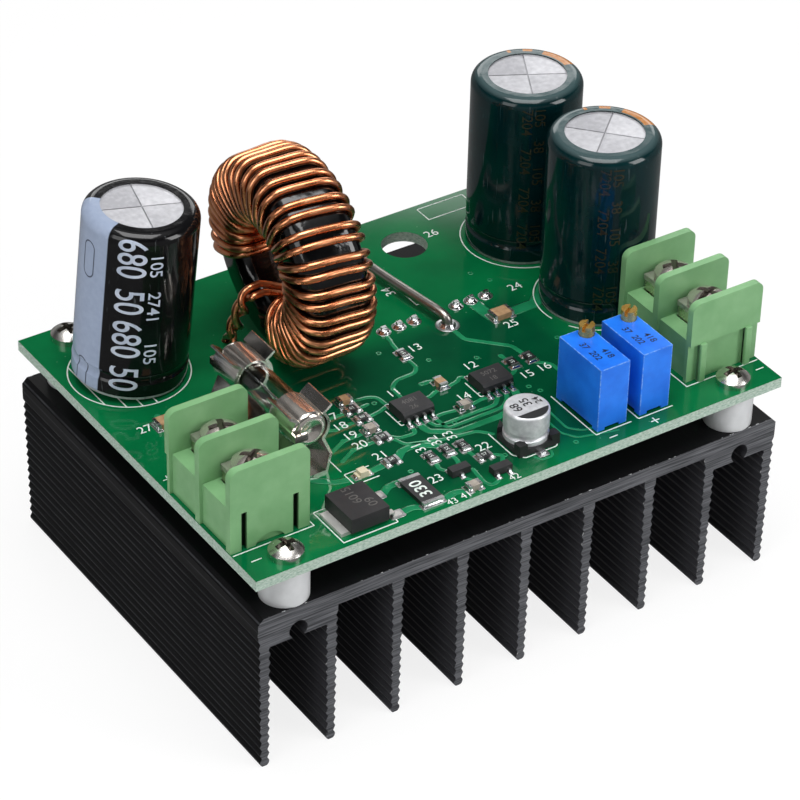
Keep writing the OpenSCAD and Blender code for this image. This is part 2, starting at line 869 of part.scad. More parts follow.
// One turn: through the hole to -X, out over the face, across the outside to +X and back in
function one_turn(k, w) =
    let (
        a = inner_angle(k, w),
        b = outer_angle(k, w),
        c = inner_angle(k + 1, w),
        face = core_half + wire_off,
        middle = (core_inner + core_outer) / 4
    )
    concat(
        [on_ring(0, core_inner / 2 - wire_off - w * layer_step, a)],
        inner_bend(-1, w, a, corner_steps),
        [on_ring(-face, middle, (a + b - wire_slant / 2) / 2)],
        outer_bend(-1, b - wire_slant / 2, corner_steps),
        [on_ring(0, core_outer / 2 + wire_off, b)],
        outer_bend(1, b + wire_slant / 2, reversed(corner_steps)),
        [on_ring(face, middle, (b + wire_slant / 2 + c) / 2)],
        inner_bend(1, w, c, reversed(corner_steps))
    );

// Straight pair of leads at the start, twisted pair at the end
function start_lead(w) = [
    for (k = [len(start_lead_line) - 1 : -1 : 0])
        start_lead_line[k] + (2 * w - 1) * start_spread + lead_origin
            + (k == 0 ? w * start_stagger : [0, 0, 0])
];
function twist_offset(share, w) =
    let (angle = 180 * w - 90 + 360 * lead_twists * max(share, 0))
    lead_spread * [cos(angle), sin(angle) * cos(twist_lean), sin(angle) * sin(twist_lean)];
function end_lead(w) =
    let (spans = len(end_lead_line) - 2)
    [
        for (k = [0 : spans - 1], s = [0 : lead_steps - 1])
            let (share = (k - 1 + s / lead_steps) / (spans - 1))
                end_lead_line[k] + (end_lead_line[k + 1] - end_lead_line[k]) * s / lead_steps
                    + twist_offset(share, w) + lead_origin
    ];
function lead_foot(line, apart, w, z) =
    line[len(line) - 1] + (2 * w - 1) * apart + lead_origin + [0, 0, z];
function wire_path(w) = concat(
    [lead_foot(start_lead_line, start_spread, w, lead_bottom)],
    start_lead(w),
    inner_bend(1, w, inner_angle(0, w), reversed(corner_steps)),
    [for (k = [0 : turns - 1]) each one_turn(k, w)],
    [on_ring(0, core_inner / 2 - wire_off - w * layer_step, inner_angle(turns, w))],
    end_lead(w),
    [lead_foot(end_lead_line, foot_spread, w, solder_high)],
    [lead_foot(end_lead_line, foot_spread, w, lead_bottom)]
);

// Round tube along a path, its section carried along without twisting
function unit(v) = v / norm(v);
function heading(path, k) =
    unit(path[min(k + 1, len(path) - 1)] - path[max(k - 1, 0)]);
function carried(normal, along) = unit(normal - (normal * along) * along);
function path_normals(path) = [
    for (
        k = 0, n = carried([1, 0, 0], heading(path, 0));
        k < len(path);
        k = k + 1, n = k < len(path) ? carried(n, heading(path, k)) : n
    ) n
];
module tube(path, size, sides) {
    normals = path_normals(path);
    last = len(path) - 1;
    points = [
        for (k = [0 : last], s = [0 : sides - 1])
            let (n = normals[k], m = cross(heading(path, k), n), a = 360 * s / sides)
                path[k] + size / 2 * (n * cos(a) + m * sin(a))
    ];
    walls = [
        for (k = [0 : last - 1], s = [0 : sides - 1])
            let (t = (s + 1) % sides)
                [k * sides + s, (k + 1) * sides + s, (k + 1) * sides + t, k * sides + t]
    ];
    ends = [
        [for (s = [0 : sides - 1]) s],
        [for (s = [sides - 1 : -1 : 0]) last * sides + s]
    ];
    polyhedron(points, concat(walls, ends), convexity = 10);
}

module inductor_core() {
    color("#1b1b1d")
        translate(coil_center)
            rotate([0, 0, inductor_turn])
                rotate([0, -inductor_lean, 0])
                    rotate([0, 90, 0])
                        rotate_extrude($fn = 128)
                            core_section();
}

module core_section() {
    inside = core_inner / 2;
    outside = core_outer / 2;
    translate([inside, -core_half + core_edge])
        square([outside - inside, core_length - 2 * core_edge]);
    translate([inside + core_edge, -core_half])
        square([outside - inside - 2 * core_edge, core_length]);
    for (x = [inside + core_edge, outside - core_edge], y = [-1, 1])
        translate([x, y * (core_half - core_edge)])
            circle(r = core_edge);
}

module inductor_winding() {
    color("#a4521e")
        for (w = [0, 1])
            tube(wire_path(w), wire, wire_sides);
}

// Fuse frame: axis along Y through the middle of the fuse
module fuse_frame() {
    on_board(fuse_place)
        translate([0, 0, fuse_height])
            rotate([-90, 0, 0])
                children();
}

module fuse_glass() {
    reach = fuse_length / 2 - cap_dimple_depth - fuse_cap_wall - seat_gap;
    color("#dfe8e4")
        fuse_frame()
            difference() {
                translate([0, 0, -reach])
                    cylinder(h = 2 * reach, r = glass_outer);
                translate([0, 0, -reach - cut])
                    cylinder(h = 2 * reach + 2 * cut, r = glass_inner);
            }
}

module fuse_caps() {
    floor_in = fuse_cap_wall + cap_dimple_depth;
    color("#c7c8c4")
        for (s = [0, 180])
            fuse_frame()
                rotate([s, 0, 0])
                    translate([0, 0, -fuse_length / 2])
                        difference() {
                            cylinder(h = fuse_cap_length, d = fuse_cap);
                            translate([0, 0, floor_in])
                                cylinder(h = fuse_cap_length, r = cap_bore);
                            translate([0, 0, -cut])
                                cylinder(h = cap_dimple_depth + cut, d = cap_dimple);
                        }
}

module fuse_wire() {
    reach = fuse_length / 2 - cap_dimple_depth - fuse_cap_wall;
    color("#b9b6ae")
        fuse_frame()
            translate([0, 0, -reach])
                cylinder(h = 2 * reach, d = fuse_wire_size);
}

// Clip section in X and Z, fuse axis at the origin
module clip_section() {
    middle = clip_radius + clip_sheet / 2;
    waist = middle * [cos(clip_grip), -sin(clip_grip)];
    neck = middle * [cos(clip_grip), sin(clip_grip)];
    knee = [clip_knee, clip_knee_height - fuse_height];
    foot = [clip_foot, clip_sheet / 2 - fuse_height];
    for (s = [0, 1])
        mirror([s, 0]) {
            intersection() {
                difference() {
                    circle(r = clip_radius + clip_sheet);
                    circle(r = clip_radius);
                }
                polygon([[0, 0], 3 * waist, 3 * [middle, 0], 3 * neck]);
            }
            strip(neck, neck + clip_lip * [cos(lip_angle), sin(lip_angle)], clip_sheet, arc_seat);
            strip(waist, knee, clip_sheet, arc_seat);
            strip(knee, foot, clip_sheet);
        }
    strip(foot, [-foot.x, foot.y], clip_sheet);
}

module clip_at(y) {
    translate([fuse_place.x, y + clip_length, board_top + fuse_height])
        rotate([90, 0, 0])
            linear_extrude(clip_length)
                clip_section();
}

// Stop tab bent across one end of the fuse, rooted inside the wall of the left arm
module clip_stop(y, side) {
    half = stop_height / 2;
    outside = sqrt(pow(clip_radius + clip_sheet, 2) - half * half) - seat_gap;
    inside = clip_radius + seat_gap;
    root = y + clip_length / 2;
    end = fuse_place.y + side * (fuse_length / 2 + stop_gap);
    tip = end + side * clip_sheet;
    translate([fuse_place.x, 0, board_top + fuse_height]) {
        box([-outside, min(root, end), -half], [-inside, max(root, end), half]);
        box([-outside, min(end, tip), -half],
            [-outside + stop_reach, max(end, tip), half]);
    }
}

module fuse_clip_front() {
    color("#c9ccc9") {
        clip_at(front_clip_y);
        clip_stop(front_clip_y, -1);
        pins(clip_pins(front_clip_y), clip_sheet / 2);
    }
}

module fuse_clip_rear() {
    color("#c9ccc9") {
        clip_at(rear_clip_y);
        clip_stop(rear_clip_y, 1);
        pins(clip_pins(rear_clip_y), clip_sheet / 2);
    }
}

// Barrier outline in X and Z
module barrier_section() {
    half = block_depth / 2;
    translate([-half, 0])
        square([block_depth, barrier_height - barrier_radius]);
    translate([-half + barrier_radius, 0])
        square([block_depth - 2 * barrier_radius, barrier_height]);
    for (s = [-1, 1])
        translate([s * (half - barrier_radius), barrier_height - barrier_radius])
            circle(r = barrier_radius);
}

// Arch in the foot of one block end
module end_arch(side) {
    translate([0, side * block_length / 2, arch_rise - arch_radius])
        rotate([90, 0, 0])
            cylinder(h = 2 * arch_depth, r = arch_radius, center = true);
}

// Cut of a depth into one block end, from the foot up and between two places along the wires
module end_cut(side, from, to, deep, high) {
    face = side * block_length / 2;
    box([from, min(face + side * cut, face - side * deep), -cut],
        [to, max(face + side * cut, face - side * deep), high]);
}

// Slots that take the ribs of a further block
module slot_relief(side) {
    for (s = [-1, 1])
        end_cut(side, s * end_slot_x - end_slot_width / 2, s * end_slot_x + end_slot_width / 2,
            end_slot_depth, end_slot_height);
}

// Recess that leaves two ribs standing
module rib_relief(side) {
    outer = end_slot_x + rib_width / 2;
    inner = end_slot_x - rib_width / 2;
    edge = block_depth / 2 + cut;
    end_cut(side, -edge, -outer, rib_recess, rib_height);
    end_cut(side, -inner, inner, rib_recess, rib_height);
    end_cut(side, outer, edge, rib_recess, rib_height);
}

module pole_pocket() {
    box([-contact_half_x - pocket_gap, -contact_half_y - pocket_gap, pocket_floor],
        [contact_half_x + pocket_gap, contact_half_y + pocket_gap, barrier_height]);
    translate([0, 0, screw_well])
        cylinder(h = barrier_height, d = clamp_screw + 2 * hole_gap);
    translate([contact_pin_x, 0, -cut])
        cylinder(h = barrier_height, d = terminal_pin + 2 * running_gap);
}

module terminal_housing() {
    half = block_depth / 2 - shelf_setback;
    difference() {
        union() {
            box([-half, -block_length / 2, 0], [half, block_length / 2, shelf_height]);
            for (k = barriers)
                translate([0, k * pole_pitch + barrier_thickness / 2, 0])
                    rotate([90, 0, 0])
                        linear_extrude(barrier_thickness)
                            barrier_section();
        }
        for (s = poles)
            translate([0, s * pole_pitch / 2, 0])
                pole_pocket();
        for (s = [-1, 1])
            end_arch(s);
        slot_relief(-1);
        rib_relief(1);
    }
}

// Bridge contact of one pole with its solder pin
module terminal_contact() {
    difference() {
        box([-contact_half_x, -contact_half_y, pocket_floor],
            [contact_half_x, contact_half_y, contact_top]);
        box([-contact_half_x + contact_sheet, -contact_half_y - cut, pocket_floor - cut],
            [contact_half_x - contact_sheet, contact_half_y + cut, contact_top - contact_sheet]);
        translate([0, 0, contact_top - contact_sheet - cut])
            cylinder(h = contact_sheet + 2 * cut, d = clamp_screw + 2 * running_gap);
    }
    translate([contact_pin_x, 0, lead_bottom])
        cylinder(h = pocket_floor - lead_bottom + cut, d = terminal_pin);
}

module clamp_plate() {
    difference() {
        box([-clamp_plate / 2, -clamp_plate / 2, plate_bottom],
            [clamp_plate / 2, clamp_plate / 2, plate_top]);
        cylinder(h = barrier_height, d = clamp_screw + 2 * running_gap);
    }
}

module clamp_screw() {
    translate([0, 0, head_bottom])
        difference() {
            screw(clamp_screw, clamp_screw_length, clamp_head, clamp_head_height);
            cross_recess(cross_length, slot_width, slot_depth, clamp_head_height);
            box([-clamp_head, -slot_width / 2, clamp_head_height - slot_depth],
                [clamp_head, slot_width / 2, clamp_head_height + cut]);
        }
}

module input_block(pole = 0) {
    on_board(input_block_place)
        translate([0, pole * pole_pitch / 2, 0])
            children();
}

module output_block(pole = 0) {
    on_board(output_block_place)
        translate([0, pole * pole_pitch / 2, 0])
            rotate(180)
                children();
}

module input_terminal_housing() {
    color("#6fa86c")
        input_block()
            terminal_housing();
}

module input_terminal_contacts() {
    color("#c6c3b4")
        for (s = poles)
            input_block(s)
                terminal_contact();
}

module input_clamp_plate_front() {
    color("#d0d2cf")
        input_block(-1)
            clamp_plate();
}

module input_clamp_plate_rear() {
    color("#d0d2cf")
        input_block(1)
            clamp_plate();
}

module input_clamp_screw_front() {
    color("#c9ccd0")
        input_block(-1)
            rotate(input_slot_turns[0])
                clamp_screw();
}

module input_clamp_screw_rear() {
    color("#c9ccd0")
        input_block(1)
            rotate(input_slot_turns[1])
                clamp_screw();
}

module output_terminal_housing() {
    color("#6fa86c")
        output_block()
            terminal_housing();
}

module output_terminal_contacts() {
    color("#c6c3b4")
        for (s = poles)
            output_block(s)
                terminal_contact();
}

module output_clamp_plate_front() {
    color("#d0d2cf")
        output_block(-1)
            clamp_plate();
}

module output_clamp_plate_rear() {
    color("#d0d2cf")
        output_block(1)
            clamp_plate();
}

module output_clamp_screw_front() {
    color("#c9ccd0")
        output_block(-1)
            rotate(output_slot_turns[0])
                clamp_screw();
}

module output_clamp_screw_rear() {
    color("#c9ccd0")
        output_block(1)
            rotate(output_slot_turns[1])
                clamp_screw();
}

module trimmer_housing() {
    x = trimmer_width / 2;
    y = trimmer_length / 2;
    difference() {
        union() {
            box([-x, -y, trimmer_foot], [x, y, trimmer_height]);
            for (sx = [-1, 1], sy = [-1, 1])
                translate([sx * (x - trimmer_foot_size / 2), sy * (y - trimmer_foot_size / 2), 0])
                    box([-trimmer_foot_size / 2, -trimmer_foot_size / 2, 0],
                        [trimmer_foot_size / 2, trimmer_foot_size / 2, trimmer_foot + cut]);
        }
        translate([screw_offset.x, screw_offset.y, trimmer_height - trimmer_bore_depth])
            cylinder(h = trimmer_bore_depth + cut, d = trimmer_screw + 2 * running_gap);
    }
}

module trimmer_adjuster() {
    bottom = trimmer_height - trimmer_bore_depth + running_gap;
    top = trimmer_height + trimmer_screw_proud;
    translate([screw_offset.x, screw_offset.y, 0])
        difference() {
            translate([0, 0, bottom])
                cylinder(h = top - bottom, d = trimmer_screw);
            rotate(trimmer_slot_turn)
                box([-trimmer_screw, -trimmer_slot / 2, top - trimmer_slot_depth],
                    [trimmer_screw, trimmer_slot / 2, top + cut]);
        }
}

module voltage_trimmer_housing() {
    color("#2f74d8")
        on_board(voltage_trimmer_place)
            trimmer_housing();
}

module voltage_trimmer_screw() {
    color("#c8a24a")
        on_board(voltage_trimmer_place)
            trimmer_adjuster();
}

module current_trimmer_housing() {
    color("#2f74d8")
        on_board(current_trimmer_place)
            trimmer_housing();
}

module current_trimmer_screw() {
    color("#c8a24a")
        on_board(current_trimmer_place)
            trimmer_adjuster();
}

module trimmer_pins() {
    color("#c9c9c4")
        pins(trimmer_leads, trimmer_foot);
}

module smd_capacitor_can() {
    radius = small_can / 2;
    color("#cfd1d2")
        on_board(small_can_place)
            translate([0, 0, small_plate])
                rotate_extrude()
                    difference() {
                        shoulder_section(radius, small_can_height - small_plate, small_shoulder);
                        translate([radius + small_crimp - small_crimp_depth, small_crimp_height])
                            circle(r = small_crimp);
                    }
}

module smd_capacitor_base() {
    half = small_base / 2;
    color("#202022")
        on_board(small_can_place)
            difference() {
                linear_extrude(small_post)
                    polygon([[-half, -half], [half, -half], [half, half - small_corner],
                        [half - small_corner, half], [small_corner - half, half],
                        [-half, half - small_corner]]);
                translate([0, 0, small_plate])
                    cylinder(h = small_post, d = small_can + 2 * running_gap);
                for (angle = [0, 90])
                    rotate(angle)
                        box([-small_base, -small_window / 2, small_plate],
                            [small_base, small_window / 2, small_post + cut]);
                for (s = [-1, 1])
                    box([-small_lead_width / 2 - seat_gap, min(s, 2 * s * half), -cut],
                        [small_lead_width / 2 + seat_gap, max(s, 2 * s * half), small_lead_sheet]);
            }
}

module smd_capacitor_leads() {
    half = small_base / 2;
    color("#c9c9c4")
        on_board(small_can_place)
            for (s = [-1, 1])
                box([-small_lead_width / 2, min(s, s * (half + small_lead_reach)), 0],
                    [small_lead_width / 2, max(s, s * (half + small_lead_reach)), small_lead_sheet]);
}

// Moulded body with drafted sides and one bevelled top edge
module circuit_body() {
    half = circuit_width / 2;
    mid = circuit_lead_z + lead_sheet / 2;
    translate([-circuit_length / 2, 0, 0])
        rotate([90, 0, 90])
            linear_extrude(circuit_length)
                polygon([[-half + circuit_draft, body_lift], [half - circuit_draft, body_lift], [half, mid],
                    [half - circuit_draft, body_lift + circuit_height],
                    [-half + circuit_draft + circuit_bevel, body_lift + circuit_height],
                    [-half + circuit_draft / 2, body_lift + circuit_height - circuit_bevel],
                    [-half, mid]]);
}

// Gull-wing lead from a body side at y = 0 toward +Y
module gull_lead(level, reach, foot, wide) {
    translate([-wide / 2, 0, 0])
        rotate([90, 0, 90])
            linear_extrude(wide)
                polygon([[0, level], [reach - foot - lead_sheet, level], [reach - foot - lead_sheet, 0],
                    [reach, 0], [reach, lead_sheet], [reach - foot, lead_sheet],
                    [reach - foot, level + lead_sheet], [0, level + lead_sheet]]);
}

module circuit_leads() {
    for (angle = [0, 180], k = circuit_lead_steps)
        rotate(angle)
            translate([k * circuit_pitch, circuit_width / 2, 0])
                gull_lead(circuit_lead_z, circuit_reach, circuit_foot, lead_width);
}

module controller_body() {
    color("#2c2d2f")
        on_board(controller_place)
            circuit_body();
}

module controller_leads() {
    color("#c4c6c4")
        on_board(controller_place)
            circuit_leads();
}

module amplifier_body() {
    color("#2c2d2f")
        on_board(amplifier_place)
            circuit_body();
}

module amplifier_leads() {
    color("#c4c6c4")
        on_board(amplifier_place)
            circuit_leads();
}

module regulator_body() {
    color("#242527")
        on_board(regulator_place)
            box([-regulator_size.x / 2, -regulator_size.y / 2, regulator_sheet],
                [regulator_size.x / 2, regulator_size.y / 2, regulator_sheet + regulator_size.z]);
}

module regulator_tab() {
    half = regulator_size.x / 2;
    color("#c6c8c6")
        on_board(regulator_place) {
            box([-half - regulator_tab_reach, -regulator_tab_width / 2, 0],
                [half - 2 * regulator_tab_reach, regulator_tab_width / 2, regulator_sheet]);
            for (s = [-1, 1])
                translate([half, s * regulator_lead_pitch, 0])
                    rotate(-90)
                        gull_lead(regulator_sheet + lead_sheet, regulator_lead_reach,
                            regulator_tab_reach, regulator_lead_width);
        }
}

module transistor_at(at) {
    on_board(spread(at))
        rotate(at[2])
            children();
}

module transistor_bodies() {
    color("#26272a")
        for (at = transistors_at)
            transistor_at(at)
                translate([-transistor_size.x / 2, -transistor_size.y / 2, body_lift])
                    cube(transistor_size);
}

module transistor_leads() {
    color("#c4c6c4")
        for (at = transistors_at)
            transistor_at(at) {
                for (s = [-1, 1])
                    translate([s * transistor_pitch, transistor_size.y / 2, 0])
                        gull_lead(body_lift + lead_sheet, transistor_reach, transistor_foot, lead_width);
                rotate(180)
                    translate([0, transistor_size.y / 2, 0])
                        gull_lead(body_lift + lead_sheet, transistor_reach, transistor_foot, lead_width);
            }
}

module power_resistor_body() {
    color("#232427")
        on_board(power_resistor_place)
            chip_body(resistor_size.y, resistor_size.x, resistor_size.z, resistor_end, 90);
}

module power_resistor_terminals() {
    color("#cfd0cc")
        on_board(power_resistor_place)
            chip_ends(resistor_size.y, resistor_size.x, resistor_size.z, resistor_end, 90);
}

// Block chip: middle body and two end blocks
module chip_body(long, wide, high, end, angle) {
    rotate(angle)
        box([-long / 2 + end, -wide / 2, 0], [long / 2 - end, wide / 2, high]);
}

module chip_ends(long, wide, high, end, angle) {
    for (s = [0, 180])
        rotate(angle + s)
            box([long / 2 - end, -wide / 2, 0], [long / 2, wide / 2, high + seat_gap]);
}

module chip_resistor_bodies() {
    color("#1e1e20")
        for (at = chip_resistors_at)
            on_board(spread(at))
                chip_body(chip_length, chip_width, chip_resistor_height, chip_end, at[2]);
}

module chip_resistor_terminals() {
    color("#cfd0cc")
        for (at = chip_resistors_at)
            on_board(spread(at))
                chip_ends(chip_length, chip_width, chip_resistor_height, chip_end, at[2]);
}

module chip_capacitor_bodies() {
    color("#a8845c")
        for (at = chip_capacitors_at)
            on_board(spread(at))
                chip_body(chip_length * at[3], chip_width * at[3], chip_capacitor_height, chip_end, at[2]);
}

module chip_capacitor_terminals() {
    color("#cfd0cc")
        for (at = chip_capacitors_at)
            on_board(spread(at))
                chip_ends(chip_length * at[3], chip_width * at[3], chip_capacitor_height, chip_end, at[2]);
}

module indicator_led() {
    color("#e8e4d2")
        on_board(lamp_place) {
            box([-lamp_size.x / 2, -lamp_size.y / 2, 0], [lamp_size.x / 2, lamp_size.y / 2, lamp_size.z]);
            box([-lamp_lens.x / 2, -lamp_lens.y / 2, lamp_size.z],
                [lamp_lens.x / 2, lamp_lens.y / 2, lamp_size.z + lamp_lens.z]);
        }
}

module shunt_wire() {
    color("#b9b2a4")
        on_board(mosfet_place)
            tube(shunt_line, shunt_size, shunt_sides);
}

// Power device frame: tab hole at the origin, underside of the tab at zero, leads toward -Y
module device_at(at) {
    translate([at.x, at.y, device_z])
        children();
}

module device_body() {
    box([-device_width / 2, device_end_y, device_tab],
        [device_width / 2, device_end_y + device_body_length, device_thickness]);
}

module device_metal() {
    difference() {
        box([-device_width / 2, device_end_y, 0], [device_width / 2, device_hole_inset, device_tab]);
        translate([0, 0, -cut])
            cylinder(h = device_tab + 2 * cut, d = device_hole);
    }
    for (k = [-1, 0, 1])
        translate([k * device_pitch, 0, 0])
            device_lead();
}

module device_lead() {
    half = device_lead_width / 2;
    thick = device_lead_thickness / 2;
    box([-half, device_lead_y - thick, device_lead_rise],
        [half, device_end_y, device_lead_rise + device_lead_thickness]);
    box([-half, device_lead_y - thick, device_lead_rise],
        [half, device_lead_y + thick, board_top + device_lead_top - device_z]);
}

module mosfet_body() {
    color("#242527")
        device_at(mosfet_place)
            device_body();
}

module mosfet_tab() {
    color("#c6c8c6")
        device_at(mosfet_place)
            device_metal();
}

module diode_body() {
    color("#242527")
        device_at(diode_place)
            device_body();
}

module diode_tab() {
    color("#c6c8c6")
        device_at(diode_place)
            device_metal();
}

module insulating_pads() {
    half = device_width / 2 + pad_border;
    color("#8d9096")
        for (at = device_places)
            translate([at.x, at.y, heatsink_height])
                difference() {
                    box([-half, device_end_y - pad_border, 0],
                        [half, device_hole_inset + pad_border, pad_thickness]);
                    translate([0, 0, -cut])
                        cylinder(h = pad_thickness + 2 * cut, d = device_hole);
                }
}

module transistor_screws() {
    color("#c9ccd0")
        for (at = device_places)
            device_at(at)
                translate([0, 0, device_tab])
                    difference() {
                        screw(device_screw, device_tab + pad_thickness + base_thickness,
                            device_head, device_head_height);
                        cross_recess(device_head * head_cross, device_cross_width, head_cross_depth,
                            device_head_height);
                    }
}

// Solder cone round a lead, standing on a board face
module solder_cone(size, bore) {
    difference() {
        cylinder(h = solder_high, d1 = size + 2 * solder_wide, d2 = size + 2 * hole_gap);
        translate([0, 0, -cut])
            cylinder(h = solder_high + 2 * cut, d = bore);
    }
}

module solder_joints() {
    color("#b8bbbd") {
        for (pin = shunt_pins)
            on_board(pin)
                solder_cone(pin[2], pin[2] + 2 * seat_gap);
        for (pin = round_pins)
            on_board(pin)
                translate([0, 0, -board_thickness])
                    mirror([0, 0, 1])
                        solder_cone(pin[2], pin[2] + 2 * seat_gap);
        for (pin = device_leads)
            on_board(pin)
                solder_cone(pin[2], norm([device_lead_width, device_lead_thickness]) + 2 * seat_gap);
    }
}

heatsink();
standoffs();
board_screws();
circuit_board();
input_capacitor_can();
input_capacitor_sleeve();
output_capacitor_rear_can();
output_capacitor_rear_sleeve();
output_capacitor_front_can();
output_capacitor_front_sleeve();
inductor_core();
inductor_winding();
fuse_glass();
fuse_caps();
fuse_wire();
fuse_clip_front();
fuse_clip_rear();
input_terminal_housing();
input_terminal_contacts();
input_clamp_plate_front();
input_clamp_plate_rear();
input_clamp_screw_front();
input_clamp_screw_rear();
output_terminal_housing();
output_terminal_contacts();
output_clamp_plate_front();
output_clamp_plate_rear();
output_clamp_screw_front();
output_clamp_screw_rear();
voltage_trimmer_housing();
voltage_trimmer_screw();
current_trimmer_housing();
current_trimmer_screw();
trimmer_pins();
smd_capacitor_can();
smd_capacitor_base();
smd_capacitor_leads();
controller_body();
controller_leads();
amplifier_body();
amplifier_leads();
regulator_body();
regulator_tab();
transistor_bodies();
transistor_leads();
power_resistor_body();
power_resistor_terminals();
chip_resistor_bodies();
chip_resistor_terminals();
chip_capacitor_bodies();
chip_capacitor_terminals();
indicator_led();
shunt_wire();
mosfet_body();
mosfet_tab();
diode_body();
diode_tab();
insulating_pads();
transistor_screws();
solder_joints();
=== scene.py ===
# %% [markdown]
# # A boost converter module, dressed for its picture
#
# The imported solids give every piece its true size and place. This lesson adds what solids
# can't show: lacquer, brushed metal, shrunk sleeves, print, solder and a smooth winding.
# Everything is in metres in the frame of the solids, so the part and its looks stay together.

import math

import bpy
import bmesh
from mathutils import Matrix, Quaternion, Vector


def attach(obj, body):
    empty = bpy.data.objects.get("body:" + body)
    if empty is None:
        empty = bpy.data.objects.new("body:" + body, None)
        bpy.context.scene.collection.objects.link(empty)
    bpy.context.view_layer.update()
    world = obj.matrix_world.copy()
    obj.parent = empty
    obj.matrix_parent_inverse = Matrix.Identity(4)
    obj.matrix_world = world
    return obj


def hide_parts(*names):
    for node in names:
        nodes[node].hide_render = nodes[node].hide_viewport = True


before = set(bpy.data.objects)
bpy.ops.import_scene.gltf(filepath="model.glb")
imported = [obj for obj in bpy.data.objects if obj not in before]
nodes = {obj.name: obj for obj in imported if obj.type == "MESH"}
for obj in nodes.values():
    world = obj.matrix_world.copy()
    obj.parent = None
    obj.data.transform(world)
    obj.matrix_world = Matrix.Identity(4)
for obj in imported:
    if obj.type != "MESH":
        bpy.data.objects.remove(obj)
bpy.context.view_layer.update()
MM = 0.001
BOARD_TOP = 31.6

# %% [markdown]
# ## Camera
#
# The picture was taken with a long lens from the front left, well above the board. A camera can
# be placed by eye, but three angles, an aim and a distance are easier to read and to correct:
# the azimuth round the part, the elevation above the floor, and a slight roll of the camera.

# %% Camera
AIM = Vector((-5.18, -8.17, BOARD_TOP)) * MM
AZIMUTH = math.radians(-34.391)
ELEVATION = math.radians(35.729)
ROLL = math.radians(1.511)
DISTANCE = 476.38 * MM
LENS, SENSOR, NEAREST, FARTHEST = 157.592, 36, 0.01, 10

back = Vector((
    math.sin(AZIMUTH) * math.cos(ELEVATION),
    -math.cos(AZIMUTH) * math.cos(ELEVATION),
    math.sin(ELEVATION),
))
bpy.ops.object.camera_add(location=AIM + back * DISTANCE)
camera = bpy.context.object
camera.name = "studio_camera"
camera.rotation_mode = "QUATERNION"
camera.rotation_quaternion = Quaternion(back, ROLL) @ (-back).to_track_quat("-Z", "Y")
camera.data.lens = LENS
camera.data.sensor_width = SENSOR
camera.data.clip_start, camera.data.clip_end = NEAREST, FARTHEST
bpy.context.scene.camera = camera
bpy.context.scene.view_settings.view_transform = "Standard"
print("camera at", [round(v, 3) for v in camera.location])

# %% [markdown]
# ## Finish helpers
#
# A finish is a small graph of nodes. Most of these surfaces need the same few steps: read the
# place on the part, make a grain from it, turn a number into another range, mix two colours and
# raise a bump. Giving each step a short helper keeps the recipes below readable. Colours are
# written as the eye sees them on a screen and changed into linear light once.

# %% Finish helpers
CLOUD, MOST = (0.3, 0.7), (0.25, 0.75)


def tone(red, green, blue):
    """Screen colour, 0 to 255, as linear light."""
    def linear(value):
        share = value / 255
        return share / 12.92 if share <= 0.04045 else ((share + 0.055) / 1.055) ** 2.4
    return (linear(red), linear(green), linear(blue), 1)


class Graph:
    """Short steps for a tree of nodes. A value is a number or the output of a node."""

    def __init__(self, tree):
        self.tree = tree

    def feed(self, socket, value):
        if isinstance(value, bpy.types.NodeSocket):
            self.tree.links.new(value, socket)
        else:
            socket.default_value = value

    def node(self, kind, *values, **named):
        """A new node, whose inputs are fed in order or by name."""
        node = self.tree.nodes.new("ShaderNode" + kind)
        for k, value in enumerate(values):
            self.feed(node.inputs[k], value)
        for name, value in named.items():
            self.feed(node.inputs[name.replace("_", " ")], value)
        return node

    def math(self, operation, first, second=0.0):
        node = self.node("Math", first, second)
        node.operation = operation
        return node.outputs[0]

    def times(self, first, *others):
        """Values multiplied together."""
        for other in others:
            first = self.math("MULTIPLY", first, other)
        return first

    def plus(self, first, second):
        return self.math("ADD", first, second)

    def minus(self, first, second):
        return self.math("SUBTRACT", first, second)

    def absolute(self, value):
        return self.math("ABSOLUTE", value)

    def most(self, first, second):
        return self.math("MAXIMUM", first, second)

    def length(self, x, y):
        """Length of a line, from its shares along two square axes."""
        return self.math("SQRT", self.plus(self.times(x, x), self.times(y, y)))

    def axes(self, vector):
        return self.node("SeparateXYZ", vector).outputs[:3]

    def between(self, value, low, high, first=0.0, last=1.0):
        """A number from one range in another, held at the ends."""
        return self.node("MapRange", value, low, high, first, last).outputs[0]


